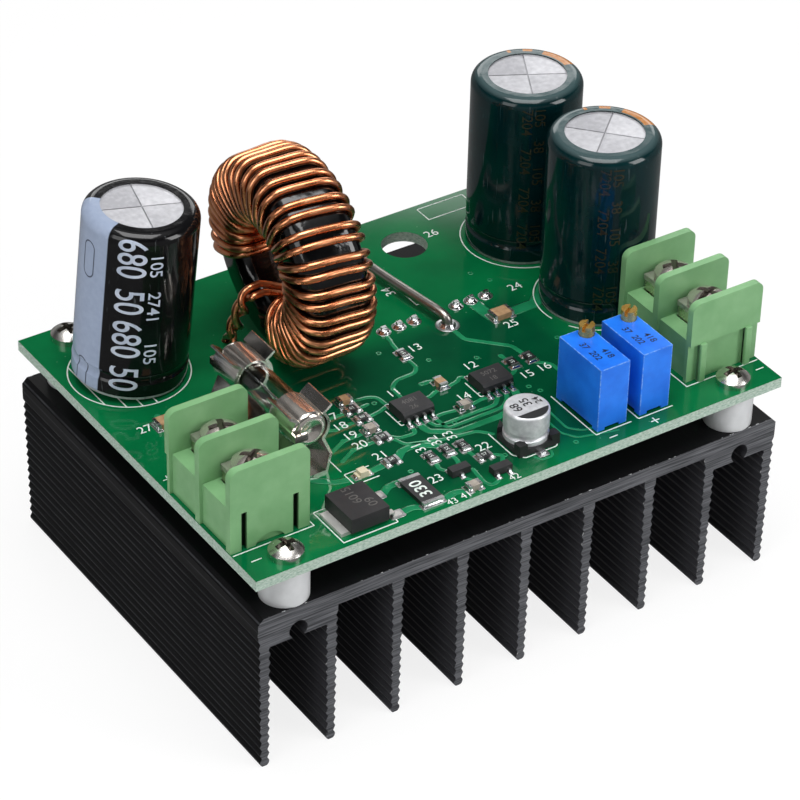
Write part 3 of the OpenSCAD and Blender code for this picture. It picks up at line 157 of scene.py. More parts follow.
class Finish(Graph):
    """A material with its shader and the place on the part that it reads."""

    def __init__(self, name):
        self.material = bpy.data.materials.new(name)
        self.material.use_nodes = True
        super().__init__(self.material.node_tree)
        self.shader = self.tree.nodes["Principled BSDF"]
        self.place = self.node("TexCoord").outputs["Object"]

    def set(self, **values):
        for name, value in values.items():
            self.feed(self.shader.inputs[name.replace("_", " ")], value)
        return self

    def colour(self):
        """The colour that the shader has been given."""
        return self.shader.inputs["Base Color"].links[0].from_socket

    def facing(self):
        """The direction that the surface faces, as three numbers."""
        return self.axes(self.node("NewGeometry").outputs["Normal"])

    def moved(self, middle=(0, 0, 0), turn=(0, 0, 0), stretch=(1, 1, 1), place=None):
        """The place, measured from a middle in mm, turned and stretched."""
        start = self.place if place is None else place
        shift = self.node("VectorMath", start, tuple(value * MM for value in middle))
        shift.operation = "SUBTRACT"
        turn = tuple(math.radians(angle) for angle in turn)
        return self.node("Mapping", Vector=shift.outputs[0], Rotation=turn, Scale=stretch).outputs[0]

    def grain(self, size, detail, place=None):
        """Soft noise from 0 to 1 with lumps of a size in mm."""
        place = self.place if place is None else place
        return self.node("TexNoise", Vector=place, Scale=1 / (size * MM), Detail=detail).outputs[0]

    def specks(self, size):
        """Distance to the nearest of scattered points, for dust."""
        return self.node("TexVoronoi", Vector=self.place, Scale=1 / (size * MM)).outputs["Distance"]

    def mix(self, share, first, second):
        """Two colours mixed. A mix node keeps its sockets for colours at 6 and 7."""
        node = self.node("Mix")
        node.data_type = "RGBA"
        for k, value in ((0, share), (6, first), (7, second)):
            self.feed(node.inputs[k], value)
        return node.outputs[2]

    def tinted(self, grain, dark, light, span=CLOUD):
        """Screen colour from dark to light, where a grain rises through a span."""
        return self.mix(self.between(grain, *span), tone(*dark), tone(*light))

    def bump(self, height, depth):
        """Relief of a depth in mm."""
        node = self.node("Bump", Height=height, Distance=depth * MM)
        self.feed(self.shader.inputs["Normal"], node.outputs[0])
        return self

    def dress(self, *names):
        """Puts the finish on solids."""
        for name in names:
            piece = nodes[name]
            if not piece.material_slots:
                piece.data.materials.append(self.material)
            for slot in piece.material_slots:
                slot.material = self.material
        return self


print("finish helpers ready")

# %% [markdown]
# ## Piece helpers
#
# Some forms are added to the solids. Each starts as one of Blender's own shapes or as a curve, and
# the same few steps turn it into a piece: choose it, change its mesh, join it with others, give it
# its finish and let it ride on the body of the module.

# %% Piece helpers
def chosen(piece):
    """Makes a piece the active one and the only one selected."""
    bpy.ops.object.select_all(action="DESELECT")
    piece.select_set(True)
    bpy.context.view_layer.objects.active = piece


def fresh(operator, **options):
    """New piece from an operator that adds one."""
    bpy.ops.object.select_all(action="DESELECT")
    operator(**options)
    return bpy.context.object


def on_mesh(operator, **options):
    """Runs an operator on the whole mesh of the active piece."""
    bpy.ops.object.mode_set(mode="EDIT")
    bpy.ops.mesh.select_all(action="SELECT")
    operator(**options)
    bpy.ops.object.mode_set(mode="OBJECT")


def joined(name, pieces):
    """Pieces made one, at the origin."""
    chosen(pieces[0])
    for piece in pieces:
        piece.select_set(True)
    if len(pieces) > 1:
        bpy.ops.object.join()
    pieces[0].name = name
    return pieces[0]


def added(piece, finish):
    """Gives a new piece its finish and lets it ride on the module."""
    piece.data.materials.clear()
    piece.data.materials.append(finish.material)
    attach(piece, "module")
    return piece


def rods(name, runs, radius, sides):
    """Rods of a radius in m along runs of places in m, each with its share of the radius."""
    curve = bpy.data.curves.new(name, "CURVE")
    curve.dimensions = "3D"
    curve.bevel_depth = radius
    curve.bevel_resolution = sides
    curve.use_fill_caps = True
    for run in runs:
        spline = curve.splines.new("POLY")
        spline.points.add(len(run) - 1)
        for point, (place, share) in zip(spline.points, run):
            point.co = (*place, 1)
            point.radius = share
    piece = bpy.data.objects.new(name, curve)
    bpy.context.scene.collection.objects.link(piece)
    chosen(piece)
    bpy.ops.object.convert(target="MESH")
    bpy.ops.object.shade_smooth()
    return bpy.context.object


print("piece helpers ready")

# %% [markdown]
# ## Studio
#
# A product picture like this is lit by large soft boxes round a white table: one overhead, one on
# the left, one on the right and one far behind, which shines on the tops. Large area lamps give
# the same broad, soft highlights on wire, cans and screws. The table glows white to the camera.
# Near the part it is in part a plain diffuse surface, which keeps a faint shadow under the fins,
# and reflections see it dimmer.

# %% Studio light and table
LAMP_AIM = Vector((0, 0, 40)) * MM
BACKDROP_TOP, BACKDROP_FADE = math.sin(math.radians(12)), math.sin(math.radians(26))
CEILING_FADE, CEILING_LOW, CEILING_SEEN = math.sin(math.radians(44)), math.sin(math.radians(60)), 0.5
ROOM_LIGHT, ROOM_SEEN, BACKDROP_SEEN, TABLE_SEEN = 0.21, 0.045, 0.28, 0.22
TABLE_SIZE, TABLE_DROP = 6, 0.00002
TABLE_NEAR, TABLE_FAR, TABLE_GLOW = 110, 320, 0.84
WHITE = (1, 1, 1, 1)


def softbox(name, place, size, power):
    """Area lamp at a place in mm, turned towards the part."""
    bpy.ops.object.light_add(type="AREA", location=Vector(place) * MM)
    lamp = bpy.context.object
    lamp.name = name
    lamp.data.shape = "RECTANGLE"
    lamp.data.size, lamp.data.size_y = size[0] * MM, size[1] * MM
    lamp.data.energy = power
    lamp.rotation_euler = (LAMP_AIM - lamp.location).to_track_quat("-Z", "Y").to_euler()


softbox("softbox_overhead", (-40, -60, 560), (380, 380), 2.7)
softbox("softbox_left", (-480, -160, 280), (260, 320), 0.75)
softbox("softbox_right", (320, -420, 280), (240, 300), 1.6)
softbox("softbox_rear", (463, 676, 404), (620, 220), 1.3)

world = bpy.data.worlds.new("white_room")
bpy.context.scene.world = world
world.use_nodes = True
world.node_tree.nodes.clear()
room = Graph(world.node_tree)
rays = room.node("LightPath").outputs
upward = room.axes(room.node("TexCoord").outputs["Generated"])[2]
backdrop = room.between(upward, BACKDROP_TOP, BACKDROP_FADE, BACKDROP_SEEN, ROOM_SEEN)
backdrop = room.between(upward, CEILING_FADE, CEILING_LOW, backdrop, CEILING_SEEN)
lighting = room.between(rays["Is Glossy Ray"], 0, 1, ROOM_LIGHT, backdrop)
lighting = room.between(rays["Is Transmission Ray"], 0, 1, lighting, backdrop)
brightness = room.between(rays["Is Camera Ray"], 0, 1, lighting, 1.0)
sky = room.node("Background", Color=WHITE, Strength=brightness)
room.node("OutputWorld", Surface=sky.outputs[0])

table = fresh(bpy.ops.mesh.primitive_plane_add, size=TABLE_SIZE, location=(0, 0, -TABLE_DROP))
table.name = "table"
bpy.ops.object.transform_apply()
white = Finish("white_table")
white.set(Base_Color=tone(245, 245, 245), Roughness=0.9)
rays = white.node("LightPath").outputs
reflected = white.most(rays["Is Glossy Ray"], rays["Is Transmission Ray"])
glow = white.node("Emission", Color=WHITE, Strength=white.between(reflected, 0, 1, 1.0, TABLE_SEEN))
x, y, z = white.axes(white.place)
share = white.between(white.length(x, y), TABLE_NEAR * MM, TABLE_FAR * MM, TABLE_GLOW, 1.0)
glow_share = white.most(white.times(rays["Is Camera Ray"], share), reflected)
blend = white.node("MixShader", glow_share, white.shader.outputs[0], glow.outputs[0])
white.feed(white.tree.nodes["Material Output"].inputs["Surface"], blend.outputs[0])
table.data.materials.append(white.material)
print("four soft boxes, a white room and a table")

# %% [markdown]
# ## Heatsink
#
# The heatsink is an aluminium extrusion, dyed black and sawn off at both ends. Drawing lines run
# along it, the crests of its ridges carry a thin grey line that is partly wear and partly a painted
# highlight, and the sawn ends are dark grey with slanting saw marks and bright burrs along the
# edges. The ridges are real geometry, so the finish only has to know which way a face looks and
# how high it is above the table.

# %% Black anodised heatsink
RIDGE_FIRST, RIDGE_PITCH, SAWN_END, OUTER_FACE = 0.632, 1.4, 31.5, 41.2
CREST_HIGHLIGHT_SPAN, BURR_FROM, BURR_TO, LIT_BAY_BLUR = (0.03, 0.085), 0.16, 0.02, 0.2

anodised = Finish("black_anodised")
x, y, z = anodised.axes(anodised.place)
face_x, face_y = anodised.facing()[:2]
sawn = anodised.between(anodised.absolute(face_y), 0.9, 0.97)
side = anodised.between(anodised.absolute(face_x), 0.5, 0.7)
drawing = anodised.grain(0.3, 2, anodised.moved(stretch=(1, 0.015, 1)))
saw_marks = anodised.grain(0.22, 4, anodised.moved(turn=(0, -28, 0), stretch=(0.03, 1, 1)))
clouds = anodised.grain(6, 4)
steps = anodised.times(anodised.minus(z, RIDGE_FIRST * MM), 1 / (RIDGE_PITCH * MM))
# Painted highlight, partly wear: a thin grey line along each ridge crest where a rounded crest would catch
# the light.
crest_wear_and_highlight = anodised.between(anodised.math("PINGPONG", steps, 0.5), *CREST_HIGHLIGHT_SPAN, 1, 0)
crest_wear_and_highlight = anodised.times(crest_wear_and_highlight, side, anodised.between(clouds, 0.3, 0.6, 0.35, 1))
near_end = anodised.between(anodised.absolute(y), (SAWN_END - BURR_FROM) * MM, (SAWN_END - BURR_TO) * MM)
burr = anodised.between(anodised.grain(0.7, 2), 0.60, 0.66)
burr = anodised.times(burr, near_end, anodised.between(sawn, 0, 1, 1, 0))
black = anodised.mix(drawing, tone(13, 13, 14), tone(23, 23, 25))
# Painted fill light: the fin sides inside the bays are given a lighter grey than the outer faces.
bay_fill_light = anodised.mix(drawing, tone(44, 44, 47), tone(60, 60, 64))
in_lit_bay = anodised.between(anodised.absolute(x), (OUTER_FACE - LIT_BAY_BLUR) * MM, OUTER_FACE * MM, 1, 0)
skin = anodised.mix(anodised.times(in_lit_bay, side), black, bay_fill_light)
skin = anodised.mix(crest_wear_and_highlight, skin, tone(62, 63, 66))
ends = anodised.tinted(saw_marks, (54, 55, 58), (104, 105, 109), (0.35, 0.7))
skin = anodised.mix(sawn, skin, ends)
skin = anodised.mix(burr, skin, tone(215, 216, 218))
rough = anodised.plus(anodised.between(drawing, 0, 1, 0.34, 0.5), anodised.between(sawn, 0, 1, 0, 0.12))
anodised.set(Base_Color=skin, Roughness=rough, Specular_IOR_Level=0.1)
relief = anodised.plus(anodised.times(drawing, 0.5), anodised.times(saw_marks, sawn))
anodised.bump(relief, 0.02).dress("heatsink")
print("heatsink dressed:", anodised.material.name)

# %% [markdown]
# ## Circuit board
#
# The board is glass fibre with green lacquer over the copper. Seen close, the lacquer is glossy,
# a little cloudy and dusted with specks, and the cut edges show the pale fibre. One finish
# can hold both, because the edges face sideways and the lacquer faces up or down.

# %% Green lacquer and fibre edge
DARKER_MIDDLE, DARKER_HALF, DARKER_BLUR = (2, -12, BOARD_TOP), (21, 17), 2.5

lacquer = Finish("green_lacquer")
face_up = lacquer.facing()[2]
cut_edge = lacquer.between(lacquer.absolute(face_up), 0.4, 0.6, 1, 0)
clouds = lacquer.grain(9, 3)
fine = lacquer.grain(0.35, 4)
dust = lacquer.between(lacquer.specks(2.2), 0.03, 0.06, 1, 0)
outer_green = lacquer.tinted(clouds, (4, 90, 50), (8, 108, 60))
darker_green = lacquer.tinted(clouds, (2, 62, 38), (5, 76, 46))
# The green is darker in a box over the middle of the board, with soft edges.
x, y, z = lacquer.axes(lacquer.moved(DARKER_MIDDLE))
outside_x = lacquer.minus(lacquer.absolute(x), DARKER_HALF[0] * MM)
outside_y = lacquer.minus(lacquer.absolute(y), DARKER_HALF[1] * MM)
outside = lacquer.most(outside_x, outside_y)
green = lacquer.mix(lacquer.between(outside, -DARKER_BLUR * MM, DARKER_BLUR * MM), darker_green, outer_green)
green = lacquer.mix(lacquer.times(dust, 0.35), green, tone(120, 170, 140))
strands = lacquer.grain(0.5, 4, lacquer.moved(stretch=(1, 1, 2.5)))
fibre = lacquer.tinted(strands, (120, 148, 130), (186, 200, 190))
rough = lacquer.plus(lacquer.between(fine, 0.2, 0.8, 0.045, 0.08), lacquer.between(cut_edge, 0, 1, 0, 0.4))
lacquer.set(Base_Color=lacquer.mix(cut_edge, green, fibre), Roughness=rough, Specular_IOR_Level=0.3)
lacquer.bump(fine, 0.0006).dress("circuit_board")
print("board dressed:", lacquer.material.name)

# %% [markdown]
# ## Turned, plated and moulded small parts
#
# Nylon standoffs are milky and let some light in. Plated screws, clips and end caps are bright
# with fine scratches. Mouldings are never one flat colour: they have a fine texture from the
# mould and slight clouds. Each recipe below sets a colour range, a roughness range and a relief.

# %% Nylon, nickel and tin
SCREW_HEAD, RECESS_REACH, RECESS_BLUR, RECESS_DEEP = 4.8, 1.5, 0.1, (0.9, 0.5)


def box_of(name):
    """Low and high corner of a solid, in mm."""
    corners = [nodes[name].matrix_world @ Vector(corner) / MM for corner in nodes[name].bound_box]
    return (
        Vector([min(corner[k] for corner in corners) for k in range(3)]),
        Vector([max(corner[k] for corner in corners) for k in range(3)]),
    )


nylon = Finish("milky_nylon")
milky = nylon.grain(1.6, 3)
nylon.set(
    Base_Color=nylon.mix(milky, tone(182, 184, 185), tone(204, 205, 207)),
    Roughness=nylon.between(milky, 0.2, 0.8, 0.32, 0.45),
    Subsurface_Weight=0.35, Subsurface_Radius=(0.002, 0.002, 0.002), Subsurface_Scale=0.8,
)
nylon.bump(nylon.grain(0.4, 3), 0.01).dress("standoffs")


def bright_metal(name, dark, light, rough_low, rough_high, scratch=0.6, depth=0.0001):
    """Plated metal with fine scratches and a slight stain."""
    metal = Finish(name)
    scratches = metal.grain(scratch, 3, metal.moved(turn=(20, 10, 35), stretch=(0.12, 1, 1)))
    metal.set(
        Base_Color=metal.tinted(metal.grain(2.0, 4), dark, light, MOST),
        Metallic=1.0,
        Roughness=metal.between(scratches, *MOST, rough_low, rough_high),
    )
    return metal.bump(scratches, depth)


nickel = bright_metal("bright_nickel", (214, 209, 202), (240, 236, 230), 0.14, 0.22)
nickel.dress("fuse_clip_front", "fuse_clip_rear")
caps = bright_metal("fuse_cap_nickel", (222, 214, 205), (242, 236, 228), 0.13, 0.18, scratch=1.5)
caps.set(Metallic=0.94).dress("fuse_caps")


def sunk_shade(metal, places, middle, top, shade):
    """Darker tone in the recess of a screw head, from places along X and Y, its middle and top in m."""
    from_x, from_y = [metal.absolute(metal.minus(place, at)) for place, at in zip(places, middle)]
    z, face_up = metal.axes(metal.place)[2], metal.facing()[2]
    low = metal.between(z, *(top - deep * MM for deep in RECESS_DEEP), 1, 0)
    reach = RECESS_REACH * MM
    inside = metal.between(metal.most(from_x, from_y), reach - RECESS_BLUR * MM, reach, 1, 0)
    inside = metal.most(inside, metal.between(face_up, 0.85, 0.95))
    return metal.set(Base_Color=metal.mix(metal.times(low, inside), metal.colour(), tone(*shade)))


screws_high = box_of("board_screws")[1]
screw_middle = [(screws_high[k] - SCREW_HEAD / 2) * MM for k in range(2)]
screw_plate = bright_metal("plated_screws", (206, 203, 198), (230, 227, 222), 0.22, 0.28)
folded = [screw_plate.absolute(place) for place in screw_plate.axes(screw_plate.place)[:2]]
sunk_shade(screw_plate, folded, screw_middle, screws_high.z * MM, (112, 107, 100))
screw_plate.dress("board_screws", "transistor_screws")
clamp_steel = bright_metal("clamp_steel", (176, 170, 164), (204, 198, 192), 0.18, 0.24).set(Metallic=0.8)
for side in ("input", "output"):
    for place in ("front", "rear"):
        clamp_steel.dress(f"{side}_clamp_plate_{place}")
        name = f"{side}_clamp_screw_{place}"
        corners = [Vector(corner) for corner in nodes[name].bound_box]
        middle = sum(corners, Vector()) / len(corners)
        head = bright_metal(f"steel_{name}", (188, 180, 172), (214, 206, 198), 0.18, 0.24).set(Metallic=0.8)
        top = max(corner.z for corner in corners)
        sunk_shade(head, head.axes(head.place)[:2], middle[:2], top, (62, 52, 44)).dress(name)
tinned_brass = bright_metal("tinned_brass", (170, 164, 148), (210, 204, 190), 0.2, 0.38)
tinned_brass.dress("input_terminal_contacts", "output_terminal_contacts")
tin = bright_metal("tinned_leads", (178, 179, 180), (222, 223, 224), 0.2, 0.36)
tin.dress(
    "trimmer_pins", "smd_capacitor_leads", "controller_leads", "amplifier_leads",
    "transistor_leads", "power_resistor_terminals", "chip_resistor_terminals",
    "chip_capacitor_terminals", "mosfet_tab", "diode_tab", "fuse_wire",
)
tab_plate = bright_metal("tab_plate", (182, 181, 178), (200, 199, 196), 0.4, 0.5, scratch=1.2, depth=0.0)
tab_plate.set(Metallic=0.5).dress("regulator_tab")
shunt_steel = bright_metal("shunt_steel", (148, 144, 138), (168, 164, 158), 0.3, 0.36, scratch=1.6, depth=0.0)
shunt_steel.dress("shunt_wire")
solder = bright_metal("bright_solder", (186, 187, 188), (228, 229, 230), 0.14, 0.26, scratch=1.1, depth=0.05)
solder.dress("solder_joints")
brass = bright_metal("adjuster_brass", (222, 168, 76), (246, 206, 120), 0.2, 0.3)
brass.set(Metallic=0.8).dress("voltage_trimmer_screw", "current_trimmer_screw")
print("metals dressed")

# %% Mouldings, coatings and glass
SLOT_X, WEAR_WIDTH, TAN_FROM = 3.9, 0.22, (-10.6, -10.4)


def moulding(name, dark, light, rough_low, rough_high, texture=0.12, depth=0.01, **more):
    """Moulded or coated surface with clouds and a fine texture."""
    plastic = Finish(name)
    pores = plastic.grain(texture, 3)
    plastic.set(
        Base_Color=plastic.tinted(plastic.grain(3.0, 4), dark, light),
        Roughness=plastic.between(pores, *MOST, rough_low, rough_high),
        **more,
    )
    return plastic.bump(pores, depth)


terminal_green = moulding("terminal_green", (110, 158, 108), (124, 171, 121), 0.36, 0.48)
block_low, block_high = box_of("input_terminal_housing")
block_end = ((block_low.x + block_high.x) / 2, block_low.y, BOARD_TOP)
x, y, z = terminal_green.axes(terminal_green.moved(block_end))
from_slot = terminal_green.absolute(terminal_green.minus(terminal_green.absolute(x), SLOT_X * MM))
# Painted shade: deep inside the slots at the end of the input block the green turns near black.
slot_shade = terminal_green.times(*[
    terminal_green.between(place, start * MM, stop * MM, *shares) for place, start, stop, shares in (
        (from_slot, 0.43, 0.46, (1, 0)), (z, 6.02, 6.06, (1, 0)),
        (y, 0.05, 0.5, (0, 1)), (y, 1.0, 1.1, (1, 0)),
    )
])
terminal_green.set(Base_Color=terminal_green.mix(slot_shade, terminal_green.colour(), tone(14, 30, 16)))
terminal_green.dress("input_terminal_housing", "output_terminal_housing")


def worn_and_lit_edges(finish, low, high, pale):
    """Pale wear and painted highlight along the upright and upper edges of a box, broken up by grain."""
    near = []
    for k, place in enumerate(finish.axes(finish.place)):
        edge = finish.between(place, (high[k] - WEAR_WIDTH) * MM, high[k] * MM)
        if k < 2:
            edge = finish.most(edge, finish.between(place, low[k] * MM, (low[k] + WEAR_WIDTH) * MM, 1, 0))
        near.append(edge)
    pairs = [finish.times(near[a], near[b]) for a, b in ((0, 1), (0, 2), (1, 2))]
    edge = finish.most(pairs[0], finish.most(pairs[1], pairs[2]))
    patchy = finish.between(finish.grain(0.45, 4), 0.38, 0.62)
    # Partly wear, partly a painted highlight where the edges would catch the light.
    wear_and_highlight = finish.times(finish.between(edge, 0.25, 0.8), patchy, 0.75)
    return finish.set(Base_Color=finish.mix(wear_and_highlight, finish.colour(), tone(*pale)))


for name in ("voltage_trimmer_housing", "current_trimmer_housing"):
    trimmer_blue = moulding(
        name + "_blue", (14, 100, 216), (28, 120, 234), 0.34, 0.46, Specular_IOR_Level=0.4,
    )
    worn_and_lit_edges(trimmer_blue, *box_of(name), (140, 180, 232)).dress(name)
epoxy = moulding("black_epoxy", (30, 30, 32), (42, 41, 43), 0.42, 0.55, Specular_IOR_Level=0.4)
epoxy.dress(
    "controller_body", "amplifier_body", "regulator_body", "transistor_bodies",
    "mosfet_body", "diode_body",
)
core_coat = moulding("core_coat", (3, 3, 4), (6, 6, 7), 0.06, 0.14, texture=2.2, depth=0.06)
core_coat.dress("inductor_core")
for name, dark, light, rough, dressed in (
    ("base_black", (18, 18, 19), (30, 30, 31), (0.4, 0.55), ["smd_capacitor_base"]),
    ("chip_black", (20, 20, 22), (36, 36, 38), (0.28, 0.4), ["chip_resistor_bodies", "power_resistor_body"]),
    ("pad_grey", (120, 122, 124), (142, 143, 145), (0.6, 0.75), ["insulating_pads"]),
    ("lamp_lens", (206, 196, 168), (228, 220, 196), (0.2, 0.35), ["indicator_led"]),
):
    moulding(name, dark, light, *rough).dress(*dressed)
chip_tan = Finish("chip_tan")
baked = chip_tan.between(chip_tan.grain(0.6, 4), *CLOUD)
tan = chip_tan.mix(baked, tone(150, 118, 86), tone(178, 144, 108))
grey = chip_tan.mix(baked, tone(138, 130, 120), tone(166, 158, 148))
is_tan = chip_tan.between(chip_tan.axes(chip_tan.place)[1], *(y * MM for y in TAN_FROM))
chip_tan.set(
    Base_Color=chip_tan.mix(is_tan, grey, tan),
    Roughness=chip_tan.between(baked, 0, 1, 0.34, 0.48),
)
chip_tan.bump(chip_tan.grain(0.15, 3), 0.004).dress("chip_capacitor_bodies")
glass = Finish("fuse_glass")
smear = glass.grain(2.5, 4)
glass.set(
    Base_Color=glass.mix(smear, tone(236, 242, 240), tone(250, 252, 251)),
    Transmission_Weight=1.0, IOR=1.48, Roughness=glass.between(smear, 0.3, 0.8, 0.0, 0.06),
)
glass.dress("fuse_glass")
print("mouldings and glass dressed")

# %% [markdown]
# ## Winding
#
# The choke is a black ring wound with two strands of enamelled copper, laid side by side on the
# outside and one on the other in the hole. The solid's wire has flat sides to stay light. Here the
# same path is drawn as a curve with a round section, smoothed through its points, and
# made a mesh. A curve is used because no primitive could follow seventeen turns through a ring.

# %% Path of the wire
CORE_OUTER, CORE_INNER, CORE_LENGTH, CORE_EDGE = 28.8, 14.0, 9.9, 2.4
WIRE, WIRE_GAP, TURNS = 1.06, -0.04, 17
WINDING_FROM, WINDING_ARC, PAIR_SPREAD = -20.0, 284.0, 6.8
RING_LEAN, RING_TURN = math.radians(5), math.radians(-3)
RING_MIDDLE = Vector((-11.5, 9.6, 47.4985))
WIRE_OFF = WIRE_GAP + WIRE / 2
LAYER_STEP = 0.72 * WIRE
TURN_PITCH = WINDING_ARC / TURNS
CORE_HALF = CORE_LENGTH / 2
BEND_STEPS = (8, 35, 62, 85)
START_LINE = [Vector(p) for p in ((-3.7, 16.2, 12), (-3.7, 16, 6), (-3.7, 16, 1), (-3.7, 16, 0))]
END_LINE = [Vector(p) for p in (
    (-15.4, 11, 11), (-17.2, 11.2, 10.6), (-17.9, 12, 8.4), (-17.9, 13.6, 4.9), (-17.9, 15, 1.8),
    (-17.9, 15.4, 0),
)]
LEAD_TWISTS, LEAD_STEPS, LEAD_SPREAD, TWIST_LEAN = 1.5, 4, 0.7, math.radians(30)
START_SPREAD, FOOT_SPREAD = Vector((0.9, 0, 0)), Vector((0, 1, 0))
START_STAGGER = Vector((0.3, 0, 1.6))
LEAD_BOTTOM, SOLDER_HIGH = -2.8, 0.5


def on_ring(x, radius, angle):
    """Point of the ring, whose axis lies along X before its lean and turn."""
    y, z = radius * math.cos(math.radians(angle)), radius * math.sin(math.radians(angle))
    lean_x = x * math.cos(RING_LEAN) - z * math.sin(RING_LEAN)
    lean_z = x * math.sin(RING_LEAN) + z * math.cos(RING_LEAN)
    return RING_MIDDLE + Vector((
        lean_x * math.cos(RING_TURN) - y * math.sin(RING_TURN),
        lean_x * math.sin(RING_TURN) + y * math.cos(RING_TURN),
        lean_z,
    ))


def inner_angle(turn, strand):
    """Angle in degrees at which a turn lies in the hole."""
    return WINDING_FROM + TURN_PITCH * (turn + strand / 2)


def outer_angle(turn, strand):
    """Angle in degrees at which a turn lies on the outside."""
    return WINDING_FROM + TURN_PITCH * (turn + 0.5) + PAIR_SPREAD * (strand - 0.5)


def half_loop(side, strand):
    """Points x, radius of half a turn, from inside the hole over one face to the outside."""
    deep, inner_deep = CORE_EDGE + WIRE_OFF, CORE_EDGE + WIRE_OFF + strand * LAYER_STEP
    middle = CORE_HALF - CORE_EDGE
    hole, rim = CORE_INNER / 2 + CORE_EDGE, CORE_OUTER / 2 - CORE_EDGE
    bends = [math.radians(angle) for angle in BEND_STEPS]
    points = [(0, hole - inner_deep)]
    points += [(middle + deep * math.sin(a), hole - inner_deep * math.cos(a)) for a in bends]
    points += [(middle + deep * math.cos(a), rim + deep * math.sin(a)) for a in bends]
    points.append((0, CORE_OUTER / 2 + WIRE_OFF))
    return [(side * x, radius) for x, radius in points]


def laid(points, first, last, slant):
    """Points of a half turn on the ring, from one angle to another with the same slant at both ends."""
    runs = [0]
    for (x0, r0), (x1, r1) in zip(points, points[1:]):
        runs.append(runs[-1] + math.hypot(x1 - x0, r1 - r0))
    line = []
    for (x, r), run in zip(points, runs):
        t = run / runs[-1]
        angle = first + (last - first) * t * t * (3 - 2 * t) + slant * t * (1 - t) * (1 - 2 * t)
        line.append(on_ring(x, r, angle))
    return line


def one_turn(turn, strand):
    """Points of a whole turn, out over one face and back over the other."""
    a, b, c = inner_angle(turn, strand), outer_angle(turn, strand), inner_angle(turn + 1, strand)
    slant = (c - a) / 2
    return laid(half_loop(-1, strand), a, b, slant)[:-1] + laid(half_loop(1, strand)[::-1], b, c, slant)[:-1]


def smoothed(points, steps):
    """Curve through all points, with its speed set by the distance between them."""
    ends = [points[0] * 2 - points[1]] + points + [points[-1] * 2 - points[-2]]
    line = []
    for k in range(1, len(ends) - 2):
        p0, p1, p2, p3 = ends[k - 1:k + 3]
        t1 = math.sqrt((p1 - p0).length)
        t2 = t1 + math.sqrt((p2 - p1).length)
        t3 = t2 + math.sqrt((p3 - p2).length)
        for s in range(steps):
            t = t1 + (t2 - t1) * s / steps
            a1 = p0.lerp(p1, t / t1)
            a2 = p1.lerp(p2, (t - t1) / (t2 - t1))
            a3 = p2.lerp(p3, (t - t2) / (t3 - t2))
            line.append(a1.lerp(a2, t / t2).lerp(a2.lerp(a3, (t - t1) / (t3 - t1)), (t - t1) / (t2 - t1)))
    return line + [points[-1]]


def twist_offset(share, strand):
    """Way of a strand from the middle of the twisted leads, at a share of their length."""
    angle = math.radians(180 * strand - 90 + 360 * LEAD_TWISTS * max(share, 0))
    return LEAD_SPREAD * Vector((
        math.cos(angle),
        math.sin(angle) * math.cos(TWIST_LEAN),
        math.sin(angle) * math.sin(TWIST_LEAN),
    ))


def wire_path(strand):
    """Points of a strand, from its first foot round all turns to its last foot."""
    up, sign = Vector((0, 0, BOARD_TOP)), 2 * strand - 1
    start = [line + sign * START_SPREAD + up for line in START_LINE[::-1]]
    start[-1] = start[-1] + strand * START_STAGGER
    path = [start[0] + Vector((0, 0, LEAD_BOTTOM))] + start
    first = inner_angle(0, strand)
    path += laid(half_loop(1, strand)[::-1], first, first, 0)[-len(BEND_STEPS) - 1:-1]
    for turn in range(TURNS):
        path += one_turn(turn, strand)
    path.append(on_ring(0, CORE_INNER / 2 - WIRE_OFF - strand * LAYER_STEP, inner_angle(TURNS, strand)))
    spans = len(END_LINE) - 2
    for k, point in enumerate(smoothed(END_LINE[:-1], LEAD_STEPS)[:-1]):
        share = (k / LEAD_STEPS - 1) / (spans - 1)
        path.append(point + twist_offset(share, strand) + up)
    foot = END_LINE[-1] + sign * FOOT_SPREAD + up
    return path + [foot + Vector((0, 0, SOLDER_HIGH)), foot + Vector((0, 0, LEAD_BOTTOM))]


print("points on one strand:", len(wire_path(0)))

# %% [markdown]
# ## The coated ring
#
# The ring is pressed from metal powder and dipped in a black coating, so its edges are well
# rounded. It can be swept: a rectangle with rounded corners is the section, and the Screw
# modifier carries it once round the axis. Rounding the flat section first keeps all edges even.

# %% Ring with well rounded edges
EDGE_STEPS, RING_STEPS, MERGE = 8, 96, 0.001

core = fresh(bpy.ops.mesh.primitive_plane_add, size=1)
core.name = "rounded_core"
core.scale = (CORE_LENGTH * MM, (CORE_OUTER - CORE_INNER) / 2 * MM, 1)
core.location = (0, (CORE_OUTER + CORE_INNER) / 4 * MM, 0)
bpy.ops.object.transform_apply()
on_mesh(bpy.ops.mesh.bevel, offset=CORE_EDGE * MM, segments=EDGE_STEPS, affect="VERTICES")
on_mesh(bpy.ops.mesh.delete, type="ONLY_FACE")
sweep = core.modifiers.new("sweep", "SCREW")
sweep.axis = "X"
sweep.steps = sweep.render_steps = RING_STEPS
sweep.use_merge_vertices = True
sweep.merge_threshold = MERGE * MM
bpy.ops.object.modifier_apply(modifier="sweep")
on_mesh(bpy.ops.mesh.normals_make_consistent, inside=False)
bpy.ops.object.shade_smooth()
core.data.transform(
    Matrix.Translation(RING_MIDDLE * MM) @ Matrix.Rotation(RING_TURN, 4, "Z")
    @ Matrix.Rotation(-RING_LEAN, 4, "Y")
)
added(core, core_coat)
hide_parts("inductor_core")
print("ring faces:", len(core.data.polygons))

# %% [markdown]
# ## The enamelled wire
#
# Two strands of enamelled copper lie side by side. A curve with a round section follows each
# path, and is made a mesh. The enamel is a clear coat over the metal, so
# the wire shows a broad glow with a sharper glint in it.

# %% Smooth round wire
SMOOTH_STEPS, ROD_SIDES = 3, 4


